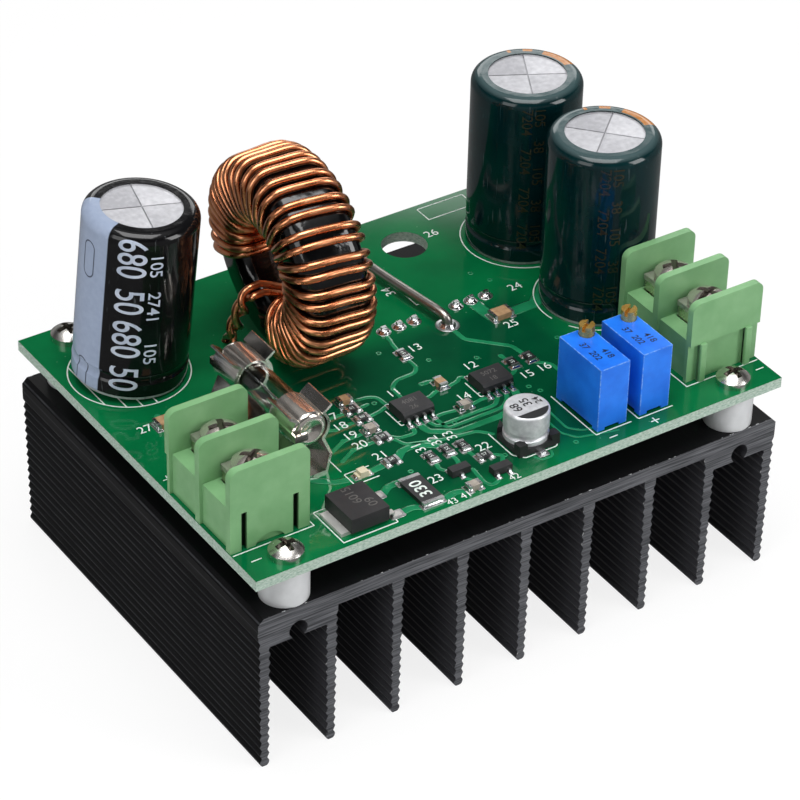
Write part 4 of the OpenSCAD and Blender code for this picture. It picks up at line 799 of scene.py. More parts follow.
def round_line(name, lines, size):
    """Rods of a diameter in mm along lines of points in mm, made one mesh at the origin."""
    runs = [[(Vector(place) * MM, 1) for place in line] for line in lines]
    return rods(name, runs, size / 2 * MM, ROD_SIDES)


winding = round_line("wound_wire", [smoothed(wire_path(s), SMOOTH_STEPS) for s in (0, 1)], WIRE)
copper = Finish("enamelled_copper")
flow = copper.grain(2.2, 4)
copper.set(
    Base_Color=copper.tinted(flow, (206, 124, 80), (234, 162, 116)),
    Metallic=1.0,
    Roughness=copper.between(flow, *MOST, 0.24, 0.32),
    Coat_Weight=0.3, Coat_Roughness=0.14,
)
added(winding, copper)
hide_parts("inductor_winding")
copper.dress("inductor_winding")
print("wire triangles:", sum(len(p.vertices) - 2 for p in winding.data.polygons))

# %% [markdown]
# ## The bent resistance wire and the caps of the fuse
#
# The bare wire that measures the current is one rod with two soft bends, so the same curve
# serves it. The caps of the fuse are pressed from thin sheet: their rims are round and the ends
# carry a shallow dimple. A cylinder with a beveled rim and two insets gives one cap, and the
# second is a copy turned round.

# %% Shunt wire
SHUNT, SHUNT_STEPS = 1.4, 5
SHUNT_LINE = [Vector(p) for p in (
    (10.4, 3.3, -2.8), (10.4, 3.3, 0), (10.4, 3.3, 0.6), (10.3, 3.7, 1.2), (10.1, 4.6, 1.5), (9.4, 8.7, 1.6),
    (8, 19.1, 1.6), (7.8, 25, 1.5), (7.7, 25.8, 1.2), (7.6, 26.2, 0.6), (7.6, 26.2, 0), (7.6, 26.2, -2.8),
)]
shunt_path = [point + Vector((0, 0, BOARD_TOP)) for point in SHUNT_LINE]
shunt = round_line("smooth_shunt", [smoothed(shunt_path, SHUNT_STEPS)], SHUNT)
added(shunt, shunt_steel)
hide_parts("shunt_wire")
print("shunt points:", len(shunt_path) * SHUNT_STEPS)

# %% Rounded caps of the fuse
CAP_LONG, CAP_RIM, CAP_FLAT, CAP_SLOPE, CAP_DEEP = 5.8, 0.8, 0.25, 0.35, 0.3
CAP_WALL, CAP_FLOOR, CAP_SIDES, RIM_STEPS, CAP_SHARP = 0.25, 0.6, 64, 8, math.radians(50)
caps_low, caps_high = box_of("fuse_caps")
cap_middle = (caps_low + caps_high) / 2
cap_radius = (caps_high.x - caps_low.x) / 2


def choose_end(piece, side):
    """Leaves only the flat end on one side selected, in edit mode."""
    bpy.ops.object.mode_set(mode="EDIT")
    bpy.ops.mesh.select_mode(type="FACE")
    bpy.ops.mesh.select_all(action="DESELECT")
    bpy.ops.object.mode_set(mode="OBJECT")
    for face in piece.data.polygons:
        face.select = face.normal.z * side > 0.99 and len(face.vertices) > 4
    bpy.ops.object.mode_set(mode="EDIT")


cap = fresh(
    bpy.ops.mesh.primitive_cylinder_add, vertices=CAP_SIDES, radius=cap_radius * MM, depth=CAP_LONG * MM,
)
choose_end(cap, 1)
bpy.ops.mesh.bevel(offset=CAP_RIM * MM, segments=RIM_STEPS)
choose_end(cap, 1)
bpy.ops.mesh.inset(thickness=CAP_FLAT * MM)
bpy.ops.mesh.inset(thickness=CAP_SLOPE * MM, depth=-CAP_DEEP * MM)
choose_end(cap, -1)
bpy.ops.mesh.inset(thickness=CAP_WALL * MM)
bpy.ops.mesh.extrude_region_move(TRANSFORM_OT_translate={"value": (0, 0, (CAP_LONG - CAP_FLOOR) * MM)})
bpy.ops.object.mode_set(mode="OBJECT")
bpy.ops.object.shade_smooth_by_angle(angle=CAP_SHARP)
bpy.ops.object.duplicate()
other = bpy.context.object
for piece, side in ((cap, 1), (other, -1)):
    end = caps_high.y if side > 0 else caps_low.y
    place = Vector((cap_middle.x, end - side * CAP_LONG / 2, cap_middle.z)) * MM
    piece.data.transform(Matrix.Translation(place) @ Matrix.Rotation(math.radians(-90 * side), 4, "X"))
added(joined("rounded_caps", [cap, other]), caps)
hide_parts("fuse_caps")
print("caps of the fuse end at y", round(caps_low.y, 2), round(caps_high.y, 2))

# %% [markdown]
# ## Capacitor sleeves and tops
#
# A large capacitor is a drawn aluminium can in a shrunk plastic sleeve. The sleeve curls over
# the shoulder and leaves a bare disc, which a press has scored with a cross so that it can
# open. Each quarter of the disc leans a little, so the quarters differ in brightness; here that is a
# painted sheen in the disc's colour, and the scored cross is a line of painted shade. All of this
# turns about the axis of the can, so the finishes read a distance from the axis and an angle about
# it. The input capacitor leans, and its finish leans with it.

# %% Round the axis of a can
CAN_RADIUS, SHOULDER = 8.0, 1.5
PER_DEGREE = CAN_RADIUS * math.pi / 180
LEAN, LEAN_TOWARDS, LEAN_GAP = 5.0, -27.0, 0.05
LEAN_LIFT = CAN_RADIUS * math.sin(math.radians(LEAN)) + LEAN_GAP
INPUT_CAN = (-33, 17.1, BOARD_TOP + LEAN_LIFT)
REAR_CAN, FRONT_CAN = (32.4, 17, BOARD_TOP), (32.4, -1.5, BOARD_TOP)
INPUT_HEIGHT, OUTPUT_HEIGHT = 26.2, 27.2
GROOVE_SHADE = (0.05, 0.16)


def along_axis(finish, middle, lean, zero):
    """Place in the frame of a can, whose angles count from zero degrees on the board."""
    upright = finish.moved(middle, turn=(0, 0, -LEAN_TOWARDS))
    upright = finish.moved(turn=(0, -lean, 0), place=upright)
    return finish.moved(turn=(0, 0, LEAN_TOWARDS - zero), place=upright)


def polar(finish, place):
    """Distance from the axis in mm and angle about it in degrees."""
    x, y, z = finish.axes(place)
    angle = finish.times(finish.math("ARCTAN2", y, x), 180 / math.pi)
    return finish.times(finish.length(x, y), 1 / MM), angle


def scored_disc(name, node, middle, lean, cross):
    """Bare aluminium with a pressed cross and a brushed, slightly stained surface, with painted sheen on its
    quarters and painted shade along the cross.
    """
    metal = Finish(name)
    place = along_axis(metal, middle, lean, cross)
    angle = polar(metal, place)[1]
    x, y, z = metal.axes(place)
    # Painted sheen: the quarters, and one side of the disc, are lighter or darker as light would fall on a
    # slight lean.
    quarter_sheen = metal.between(metal.math("SINE", metal.times(angle, math.pi / 90)), -0.04, 0.04)
    painted_lean_light = metal.between(metal.math("COSINE", metal.times(angle, math.pi / 180)), -1, 1, 0, 0.45)
    stain = metal.grain(0.8, 5)
    shade = metal.plus(metal.times(quarter_sheen, 0.3), painted_lean_light)
    shade = metal.plus(shade, metal.between(stain, 0.2, 0.8, -0.35, 0.35))
    # Painted shade along the scored cross.
    from_line = metal.math("MINIMUM", metal.absolute(x), metal.absolute(y))
    groove_shade = metal.between(from_line, *(edge * MM for edge in GROOVE_SHADE), 1, 0)
    skin = metal.tinted(shade, (172, 172, 177), (224, 224, 228), (0, 1))
    skin = metal.mix(metal.times(groove_shade, 0.35), skin, tone(96, 97, 100))
    brushed = metal.grain(0.16, 3, metal.moved(turn=(0, 0, cross), stretch=(0.2, 1, 1)))
    rough = metal.between(metal.plus(brushed, stain), 0.6, 1.4, 0.38, 0.56)
    metal.set(Base_Color=skin, Metallic=0.6, Roughness=rough)
    metal.bump(brushed, 0.006).dress(node)


scored_disc("input_disc", "input_capacitor_can", INPUT_CAN, LEAN, -14)
scored_disc("rear_disc", "output_capacitor_rear_can", REAR_CAN, 0, -28)
scored_disc("front_disc", "output_capacitor_front_can", FRONT_CAN, 0, -48)
print("three scored discs")

# %% Shrunk sleeves
STRIPE_MIDDLE, STRIPE_HALF, STRIPE_BLUR = -187, 34, 0.07
CAPSULE_HALF, CAPSULE_LONG, CAPSULE_LINE, CAPSULES, CAPSULE_TURN = 1.05, 1.7, 0.13, (1.6, 20.2), 11
BROAD_BAR, NARROW_BAR, BAR_BLUR, BAR_TURN_BLUR = (5.85, 7.7), (6.2, 7.0), 0.05, 0.6


def shrunk_sleeve(name, middle, lean, zero, dark, light, pale):
    """Glossy sleeve with faint flow clouds and a painted paler top, lit from above; returns it with its skin
    and the place on the can.
    """
    sleeve = Finish(name)
    place = along_axis(sleeve, middle, lean, zero)
    clouds = sleeve.grain(3.5, 4)
    scuffs = sleeve.between(sleeve.grain(0.5, 3, sleeve.moved(stretch=(1, 1, 0.12))), 0.66, 0.74)
    skin = sleeve.tinted(clouds, dark, light)
    skin = sleeve.mix(sleeve.times(scuffs, 0.12), skin, tone(150, 156, 160))
    sleeve.set(Roughness=sleeve.between(clouds, *MOST, 0.08, 0.14), Specular_IOR_Level=0.38)
    sleeve.bump(sleeve.grain(1.8, 2), 0.02)
    # Painted light: faces that look up, over the shoulder, are paler as if lit from above.
    lit_top_share = sleeve.between(sleeve.facing()[2], 0.7, 0.99, 0, 0.4)
    return sleeve, sleeve.mix(lit_top_share, skin, tone(*pale)), place


sleeve, skin, place = shrunk_sleeve(
    "black_sleeve", INPUT_CAN, LEAN, STRIPE_MIDDLE, (8, 8, 9), (13, 13, 15), (16, 16, 18),
)
angle = polar(sleeve, place)[1]
height = sleeve.times(sleeve.axes(place)[2], 1 / MM)
round_can = sleeve.absolute(sleeve.times(angle, PER_DEGREE))
stripe_edge = STRIPE_HALF * PER_DEGREE
stripe = sleeve.between(round_can, stripe_edge - STRIPE_BLUR, stripe_edge + STRIPE_BLUR, 1, 0)
aside = sleeve.times(sleeve.minus(angle, CAPSULE_TURN), PER_DEGREE)
chalk = sleeve.mix(sleeve.grain(0.9, 4), tone(138, 151, 174), tone(156, 168, 190))
for middle in CAPSULES:
    from_middle = sleeve.absolute(sleeve.minus(height, middle))
    beyond = sleeve.most(sleeve.minus(from_middle, CAPSULE_LONG), 0.0)
    off_line = sleeve.absolute(sleeve.minus(sleeve.length(aside, beyond), CAPSULE_HALF))
    line = sleeve.between(off_line, CAPSULE_LINE * 0.6, CAPSULE_LINE, 1, 0)
    chalk = sleeve.mix(sleeve.times(line, 0.85), chalk, tone(40, 46, 58))
sleeve.set(Base_Color=sleeve.mix(stripe, skin, chalk)).dress("input_capacitor_sleeve")


def shoulder_bar(sleeve, place, middle, half, inner, outer):
    """Share of a printed bar on the shoulder, between two angles and two distances from the axis."""
    radius, angle = polar(sleeve, sleeve.moved(turn=(0, 0, -middle), place=place))
    return sleeve.times(
        sleeve.between(sleeve.absolute(angle), half - BAR_TURN_BLUR, half + BAR_TURN_BLUR, 1, 0),
        sleeve.between(radius, inner - BAR_BLUR, inner + BAR_BLUR),
        sleeve.between(radius, outer - BAR_BLUR, outer + BAR_BLUR, 1, 0),
    )


for who, middle, bars in (
    ("rear", REAR_CAN, ((13, 21.5, BROAD_BAR), (55, 6, NARROW_BAR), (79, 2.2, NARROW_BAR))),
    ("front", FRONT_CAN, ((8, 23, BROAD_BAR), (54, 7, NARROW_BAR), (79, 2.2, NARROW_BAR))),
):
    sleeve, skin, place = shrunk_sleeve(
        f"{who}_green_sleeve", middle, 0, 0, (2, 26, 29), (4, 36, 38), (96, 118, 120),
    )
    gold = sleeve.mix(sleeve.grain(0.6, 3), tone(160, 102, 48), tone(182, 122, 62))
    for turn, half, reach in bars:
        skin = sleeve.mix(shoulder_bar(sleeve, place, turn, half, *reach), skin, gold)
    sleeve.set(Base_Color=skin).dress(f"output_capacitor_{who}_sleeve")
print("three shrunk sleeves")

# %% Small can with its black half-moon
SMALL_CAN, SMALL_TOP, MOON_CHORD, MOON_BLUR = (4.25, -24.4, BOARD_TOP), 37.0, -1.35, 0.04

small = Finish("small_can")
y = small.axes(small.moved(SMALL_CAN))[1]
turned = small.grain(0.12, 3, small.moved(stretch=(1, 1, 6)))
frost = small.grain(0.9, 4)
skin = small.tinted(frost, (196, 198, 202), (228, 229, 232))
moon = small.between(y, (MOON_CHORD - MOON_BLUR) * MM, (MOON_CHORD + MOON_BLUR) * MM, 1, 0)
moon = small.times(moon, small.between(small.facing()[2], 0.9, 0.97))
small.set(
    Base_Color=small.mix(moon, skin, tone(34, 34, 36)),
    Metallic=small.between(moon, 0, 1, 0.5, 0),
    Roughness=small.between(small.plus(turned, frost), 0.6, 1.4, 0.3, 0.48),
)
small.bump(turned, 0.012).dress("smd_capacitor_can")
print("small can dressed")

# %% [markdown]
# ## Ribs on the output block
#
# Two upright ribs stiffen the end wall of this block. Each is a small box with its edges beveled,
# so that the light catches them as it does on a real moulding.

# %% Ribs on the end of the output block
RIB, RIB_PROUD, RIB_HIGH, RIB_ROUND, RIB_STEPS, RIB_SHARP = 1.0, 0.45, 6.2, 0.12, 3, math.radians(40)
block_low, block_high = box_of("output_terminal_housing")
block_middle = (block_low.x + block_high.x) / 2
ribs = []
for side in (-1, 1):
    rib = fresh(bpy.ops.mesh.primitive_cube_add, size=1)
    rib.scale = (RIB * MM, 2 * RIB_PROUD * MM, RIB_HIGH * MM)
    rib.location = Vector((block_middle + side * SLOT_X, block_low.y, BOARD_TOP + RIB_HIGH / 2)) * MM
    bpy.ops.object.transform_apply()
    on_mesh(bpy.ops.mesh.bevel, offset=RIB_ROUND * MM, segments=RIB_STEPS)
    bpy.ops.object.shade_smooth_by_angle(angle=RIB_SHARP)
    ribs.append(rib)
added(joined("block_ribs", ribs), terminal_green)
print("ribs on the output block at y", round(block_low.y, 2))

# %% [markdown]
# ## Copper under the lacquer
#
# Tracks are strips of copper that etching has left on the board, and the lacquer runs over them, so
# they show as slightly raised, lighter green lines. Each is drawn as a line with round
# corners and ends, given a round section, pressed flat and made a mesh. The routes follow what
# shows between the parts, and are simplified where the picture is unclear.

# %% Flat lines on the board
END_STEPS = [math.radians(a) for a in (0, 30, 60, 84)]
CORNER_STEPS, STRIP_SIDES, EDGE_SLOPE, SUNK = (0, 0.33, 0.67, 1), 2, 0.5, -0.01


def softened(points, radius):
    """Line with each corner cut back by a radius in mm and rounded."""
    line = [Vector(points[0])]
    for before, corner, after in zip(points, points[1:], points[2:]):
        corner = Vector(corner)
        into, out = Vector(before) - corner, Vector(after) - corner
        back = min(radius, into.length / 2, out.length / 2)
        first, last = corner + into.normalized() * back, corner + out.normalized() * back
        line += [first.lerp(corner, t).lerp(corner.lerp(last, t), t) for t in CORNER_STEPS]
    return line + [Vector(points[-1])]


def flat_lines(name, routes, rise, corner):
    """Strips with round ends along lines on the board, from pairs of a width and points in mm."""
    runs = []
    for width, points in routes:
        half, line = width / 2, softened(points, corner)
        first, last = (line[0] - line[1]).normalized(), (line[-1] - line[-2]).normalized()
        run = [(line[0] + first * half * math.sin(a), half * math.cos(a)) for a in END_STEPS[::-1]]
        run += [(place, half) for place in line[1:-1]]
        run += [(line[-1] + last * half * math.sin(a), half * math.cos(a)) for a in END_STEPS]
        runs.append([((place.x * MM, place.y * MM, BOARD_TOP * MM), size) for place, size in run])
    piece = rods(name, runs, MM, STRIP_SIDES)
    for vertex in piece.data.vertices:
        above = (vertex.co.z / MM - BOARD_TOP) * EDGE_SLOPE
        vertex.co.z = (BOARD_TOP + max(SUNK, min(above, rise))) * MM
    return piece


# %% Tracks
FINE, TRACK, BROAD, WIDE = 0.45, 0.75, 1.3, 2.2
TRACK_RISE, TRACK_CORNER = 0.03, 0.6
tracks = [
    (0.9, [(10.4, 3.3), (10.5, -0.8), (15.2, -5.6), (15.5, -8.4)]),
    (TRACK, [(1.9, 6.6), (1.3, 3.8), (1, 1.4)]),
    (TRACK, [(1, -0.6), (1.1, -2.8), (0.1, -3.9), (-3, -4), (-4.5, -5.1), (-4.8, -8.4)]),
    (TRACK, [(-7.3, -8.6), (-7.5, -6), (-8.5, -5.3), (-11, -5)]),
    (1.0, [(1.4, -7.2), (0.6, -6.6), (-0.6, -6.6)]),
    (TRACK, [(1.6, -9.1), (4.1, -8.6), (4.7, -7.9), (5.6, -8.6)]),
    (TRACK, [(1.3, -9.1), (0.1, -9), (-1.5, -9.8), (-3.4, -8.6)]),
    (TRACK, [(0.3, -14.2), (-2.2, -13.8), (-3.5, -14)]),
    (TRACK, [(2.3, -14.2), (4.6, -13.8), (5.6, -14.2)]),
    (TRACK, [(-4.8, -14), (-4.2, -15.9), (5.2, -15.9), (6, -15.2), (6.9, -14.2)]),
    (TRACK, [(-3.5, -14), (-3.2, -17), (5.8, -16.9), (7.5, -15.6), (8.1, -14.2)]),
    (BROAD, [(-6, -14.2), (-5.9, -16.1), (-2.6, -18.3), (4.2, -18.4), (8.4, -17.6), (9.4, -14.6)]),
    (TRACK, [(-11.1, -14.3), (-10, -15.4), (-7.5, -15.6), (-7.3, -14.2)]),
    (TRACK, [(-11, -14.6), (-10.2, -17), (-5.4, -18.7), (-0.3, -19.6), (1.1, -21.2)]),
    (BROAD, [(-12.9, -19.2), (-11.4, -17.9), (-8.9, -17.8), (-6.4, -19.8)]),
    (TRACK, [(-9, -22.5), (-9.4, -24), (-8.7, -24.8)]),
    (TRACK, [(-6.3, -22.3), (-6.2, -23.4), (-6.7, -24.7)]),
    (TRACK, [(-3.9, -22.6), (-3.8, -24.6)]),
    (TRACK, [(-1.8, -24.9), (-0.4, -25.8), (-1.7, -27.6)]),
    (FINE, [(10.6, -20.4), (10.4, -25.4), (12, -27), (14.2, -27.2)]),
    (FINE, [(9.2, -19.2), (9, -25.8), (10.4, -27.9), (16, -29.4)]),
    (FINE, [(2.9, -28.5), (3.3, -29.5), (5.2, -29.5), (5.6, -28.5)]),
    (TRACK, [(-5.6, -26.4), (-6, -29.6), (-5.4, -30.6), (-4.1, -30.2), (-3.7, -29.4)]),
    (BROAD, [(-18.8, -24.6), (-17.4, -23.6), (-14.6, -23.5)]),
    (BROAD, [(-18.8, -29.2), (-17.2, -28.9), (-15.2, -30)]),
    (BROAD, [(-13.4, -30), (-10.6, -29.2), (-8.8, -29.8)]),
    (TRACK, [(-7.6, -27.2), (-7, -28.6), (-6.9, -29.8)]),
    (TRACK, [(-13.1, -9.2), (-16.4, -9.4), (-18.6, -8.4)]),
    (TRACK, [(-13.2, -6.8), (-16.6, -6.8), (-18.8, -5.6)]),
    (TRACK, [(-13.6, -12), (-16.8, -12), (-19.6, -13.4)]),
    (TRACK, [(-13.2, -14.3), (-16.8, -14.4), (-19.4, -15.8)]),
    (BROAD, [(-15, -19.3), (-17.4, -19.6)]),
    (BROAD, [(-19.8, -19.8), (-22.6, -19.2), (-25, -17.2)]),
    (TRACK, [(-10.9, -9.2), (-8.8, -8.9), (-7.9, -8.5), (-7.4, -8.4)]),
    (TRACK, [(-11, -6.8), (-9.6, -6.7)]),
    (WIDE, [(19.3, 1.3), (24.2, 1.4), (27.6, 4)]),
    (WIDE, [(16.6, 6.4), (16.8, 3), (17, 1.6)]),
    (TRACK, [(12.7, -8.2), (12.5, -6.8)]),
    (TRACK, [(12.7, -10.2), (11.2, -11.4), (10, -9.4), (9.4, -8.8)]),
    (TRACK, [(15.5, -10.3), (17.4, -12), (17.4, -17.4)]),
    (BROAD, [(-35, 5.8), (-35, 1.6), (-33.4, -4)]),
]
copper_track = Finish("lacquered_copper")
veil = copper_track.grain(2.4, 4)
fine = copper_track.grain(0.35, 4)
copper_track.set(
    Base_Color=copper_track.tinted(veil, (20, 110, 70), (36, 132, 88)),
    Roughness=copper_track.between(fine, 0.2, 0.8, 0.06, 0.1), Specular_IOR_Level=0.4,
)
copper_track.bump(fine, 0.0006)
added(flat_lines("board_tracks", tracks, TRACK_RISE, TRACK_CORNER), copper_track)
print("tracks:", len(tracks))

# %% [markdown]
# ## Solder and pads
#
# Each foot stands on a tinned pad and is wetted by solder, which climbs its side. The feet are
# found on the solids themselves: every separate piece that touches the board gives the
# box of its foot. One pad and one fillet are modelled, and copies are set under every foot.

# %% Feet on the board
WELD, FOOT_HIGH = 0.001, 0.02


def feet(name):
    """Boxes in mm, as low corner, high corner and height, of the feet in a node."""
    shell = bmesh.new()
    shell.from_mesh(nodes[name].data)
    shell.transform(nodes[name].matrix_world)
    bmesh.ops.remove_doubles(shell, verts=shell.verts, dist=WELD * MM)
    waiting, boxes = set(shell.verts), []
    while waiting:
        island, border = [], [waiting.pop()]
        while border:
            vertex = border.pop()
            island.append(vertex.co / MM)
            for edge in vertex.link_edges:
                other = edge.other_vert(vertex)
                if other in waiting:
                    waiting.remove(other)
                    border.append(other)
        low = [v for v in island if v.z < BOARD_TOP + FOOT_HIGH]
        xs, ys = [v.x for v in low], [v.y for v in low]
        boxes.append((min(xs), min(ys), max(xs), max(ys), max(v.z for v in island) - BOARD_TOP))
    shell.free()
    return sorted(boxes)


def over(x0, y0, x1, y1, z0, z1):
    """Puts a model of unit size into a box in mm."""
    size = Matrix.Diagonal(((x1 - x0) * MM, (y1 - y0) * MM, (z1 - z0) * MM, 1))
    return Matrix.Translation(Vector(((x0 + x1) / 2, (y0 + y1) / 2, (z0 + z1) / 2)) * MM) @ size


def stamped(name, model, places):
    """Copies of a model, each with its own mesh, at the given places, made one piece."""
    copies = []
    for place in places:
        copy = bpy.data.objects.new(name, model.data.copy())
        copy.data.transform(place)
        bpy.context.scene.collection.objects.link(copy)
        copies.append(copy)
    bpy.data.objects.remove(model)
    return joined(name, copies)


CHIP_NODES = ("chip_resistor_terminals", "chip_capacitor_terminals", "power_resistor_terminals")
LEAD_NODES = ("controller_leads", "amplifier_leads", "transistor_leads")
chip_feet = [box for name in CHIP_NODES for box in feet(name)]
lead_feet = [box for name in LEAD_NODES for box in feet(name)]
broad_feet = feet("regulator_tab")[1:] + feet("smd_capacitor_leads")
print("feet found:", len(chip_feet), len(lead_feet), len(broad_feet))

# %% Pads and solder fillets
PAD_RISE, CHIP_PAD, LEAD_PAD, BROAD_PAD, LAMP_PAD = 0.045, 0.34, 0.22, 0.45, 0.1
FILLET_SUNK, CHIP_FILLET, LEAD_FILLET, LAMP_FILLET = 0.05, (0.24, 0.6), (0.12, 0.3), (0.0, 0.9)
PAD_ROUND, FILLET_TOP, FILLET_ROUND, ROUND_STEPS = 0.12, 0.42, 0.1, 3
LAMP_PADS = [(-20.2, -20.3, -19.3, -19.1, 0.3), (-18.3, -20.3, -17.4, -19.1, 0.3)]

pad = fresh(bpy.ops.mesh.primitive_cube_add, size=1)
on_mesh(bpy.ops.mesh.bevel, offset=PAD_ROUND, segments=ROUND_STEPS)
bpy.ops.object.shade_smooth()
pads = [
    over(x0 - grow, y0 - grow, x1 + grow, y1 + grow, BOARD_TOP - PAD_RISE, BOARD_TOP + PAD_RISE)
    for boxes, grow in (
        (chip_feet, CHIP_PAD), (lead_feet, LEAD_PAD), (broad_feet, BROAD_PAD), (LAMP_PADS, LAMP_PAD),
    )
    for x0, y0, x1, y1, height in boxes
]
tinning = bright_metal("tinned_pads", (150, 152, 152), (206, 208, 208), 0.24, 0.42, scratch=0.4, depth=0.004)
added(stamped("tinned_pads", pad, pads), tinning)

fillet = fresh(
    bpy.ops.mesh.primitive_cone_add,
    vertices=4, radius1=math.sqrt(0.5), radius2=FILLET_TOP, depth=1, rotation=(0, 0, math.radians(45)),
)
bpy.ops.object.transform_apply()
on_mesh(bpy.ops.mesh.bevel, offset=FILLET_ROUND, segments=ROUND_STEPS)
bpy.ops.object.shade_smooth()
fillets = [
    over(
        x0 - spread, y0 - spread, x1 + spread, y1 + spread,
        BOARD_TOP - FILLET_SUNK, BOARD_TOP + climb * height,
    )
    for boxes, (spread, climb) in (
        (chip_feet, CHIP_FILLET), (lead_feet, LEAD_FILLET), (LAMP_PADS, LAMP_FILLET),
    )
    for x0, y0, x1, y1, height in boxes
]
added(stamped("solder_fillets", fillet, fillets), solder)
print("pads:", len(pads), "fillets:", len(fillets))

# %% Ring pads and vias
LEAD_PITCH, LEAD_ROW, LEAD_RING = 2.54, 6.6, 1.1
MOSFET_X, DIODE_X = 4.4, 16.6
RING_HIGH, VIA_HIGH, DOME = 0.2, 0.3, (0.9, 0.95, 0.6)
RINGS = [(10.4, 3.3, 1.75), (7.6, 26.2, 1.6)]
RINGS += [(x + k * LEAD_PITCH, LEAD_ROW, LEAD_RING) for x in (MOSFET_X, DIODE_X) for k in (-1, 0, 1)]
DOMES = [
    (x + k * LEAD_PITCH + aside, LEAD_ROW)
    for x, aside in ((MOSFET_X, 0.06), (DIODE_X, -0.05)) for k in (-1, 0, 1)
]
VIAS = [
    (12.5, -6.8), (-0.6, -6.6), (-4.6, -5.6), (9.4, -5.4), (11.6, -14.8), (12.4, -16.4), (-8.6, -7),
    (-1.8, -16.4), (3.2, -20.2), (-12.9, -22.4), (-16.4, -9.4), (-16.6, -6.8), (-16.8, -12),
    (-16.8, -14.4), (-18.6, -8.4),
    (9.6, -28.6), (-0.2, -26), (-17.4, -23.6), (-10.6, -29.2), (17.4, -17.4), (20.4, -10.4), (21.8, -7.2),
    (-33.4, -4), (-30.6, -2.6), (22, 9.6), (20.6, 12.4), (-20.4, 1.6), (-1.6, 2.6), (3.4, -2.4),
]


def spot(x, y, wide, deep, high):
    """Puts a model on the board at a place in mm, with its sizes in mm."""
    size = Matrix.Diagonal((wide * MM, deep * MM, high * MM, 1))
    return Matrix.Translation(Vector((x, y, BOARD_TOP)) * MM) @ size


ring = fresh(
    bpy.ops.mesh.primitive_torus_add,
    major_segments=28, minor_segments=8, major_radius=0.72, minor_radius=0.28,
)
bpy.ops.object.shade_smooth()
added(stamped("ring_pads", ring, [spot(x, y, r, r, RING_HIGH) for x, y, r in RINGS]), tinning)

dome = fresh(bpy.ops.mesh.primitive_uv_sphere_add, segments=24, ring_count=16, radius=1)
bpy.ops.object.shade_smooth()
added(stamped("solder_domes", dome, [spot(x, y, *DOME) for x, y in DOMES]), solder)

via = fresh(
    bpy.ops.mesh.primitive_torus_add,
    major_segments=20, minor_segments=6, major_radius=0.3, minor_radius=0.14,
)
bpy.ops.object.shade_smooth()
added(stamped("vias", via, [spot(x, y, 1, 1, VIA_HIGH) for x, y in VIAS]), copper_track)
print("ring pads:", len(RINGS), "vias:", len(VIAS))

# %% [markdown]
# ## Printed marks
#
# White marks are screen printed on the lacquer: outlines of the parts, rings round the cans and a
# number beside each small part. Plain figures stand for the reference marks. Lines
# are the same pressed strips as the tracks, only whiter and thinner, and figures are text made a mesh.

# %% Lines of the white print
SILK, SILK_RISE, SILK_CORNER, CIRCLE_STEPS = 0.2, 0.045, 0.2, 48


def circle(x, y, radius, start=0, stop=360):
    """Points on a part of a circle, in mm."""
    turn = stop - start
    angles = [math.radians(start + turn * k / CIRCLE_STEPS) for k in range(CIRCLE_STEPS + 1)]
    return [(x + radius * math.cos(a), y + radius * math.sin(a)) for a in angles]


def outline(x0, y0, x1, y1):
    """Points round a box, in mm."""
    return [(x0, y0), (x1, y0), (x1, y1), (x0, y1), (x0, y0)]


silk_lines = [
    circle(32.4, 17, 8.7), circle(32.4, -1.5, 8.7, -150, 190), circle(-33, 17.1, 8.5),
    [(-39.75, 12), (-39.75, 22.2)], [(-37.5, 9.9), (-37.5, 24.2)],
    [(-35.5, 9), (-35.5, 25.2)], [(-33.4, 8.6), (-33.4, 25.5)],
    [(9.5, 9.8), (9.5, 24.2)], [(9.5, 9.8), (11.2, 9.8)],
    outline(-28.7, -30.6, -20.3, -23.2),
    [(-30, -25.4), (-30, -8.4)], [(-42.2, -25.5), (-30, -25.5)],
    [(30, -26.3), (30, -9.3)], [(30, -26.3), (42.2, -26.3)], [(40.6, -28.2), (41.8, -28.2)],
    [(0.6, -21), (0.6, -26.6), (1.8, -28), (6.8, -28), (7.9, -27), (7.9, -21)],
    [(12.8, -18.4), (12.8, -28.8), (18.6, -28.8)], [(19.9, -18.4), (19.9, -28.8), (25.6, -28.8)],
    [(-8.3, -9.4), (-8.3, -13.2), (-7.9, -13.2)], [(-8.3, -12.3), (-7.5, -12.3)],
    [(4.6, -9.6), (4.6, -13.4), (5, -13.4)], [(4.6, -12.5), (5.4, -12.5)],
    outline(23.4, 27.3, 31.4, 30.5),
    [(-20.8, -21), (-20.8, -18.4), (-17, -18.4)], [(-20.8, -21), (-17, -21)],
    [(-29.2, 4.6), (-29.2, -18.2)], [(-20.8, 4.6), (-20.8, -17.6)],
    [(-41.6, -6.9), (-40.2, -6.9)], [(-40.9, -7.6), (-40.9, -6.2)],
    [(-40.8, -27.7), (-39.4, -27.7)],
    [(14, -30.3), (15.2, -30.3)], [(21, -30.3), (22.2, -30.3)], [(21.6, -30.9), (21.6, -29.7)],
]
silk = Finish("white_print")
chalk = silk.grain(0.5, 4)
silk.set(
    Base_Color=silk.tinted(chalk, (196, 210, 202), (226, 233, 228)),
    Roughness=silk.between(chalk, *CLOUD, 0.4, 0.55),
)
silk.bump(chalk, 0.01)
silk_routes = [(SILK, line) for line in silk_lines]
added(flat_lines("print_lines", silk_routes, SILK_RISE, SILK_CORNER), silk)
print("print lines:", len(silk_lines))

# %% Figures
FIGURE_SHARE, NUMBER_HIGH, EDGE_HIGH = 0.69, 1.5, 1.15


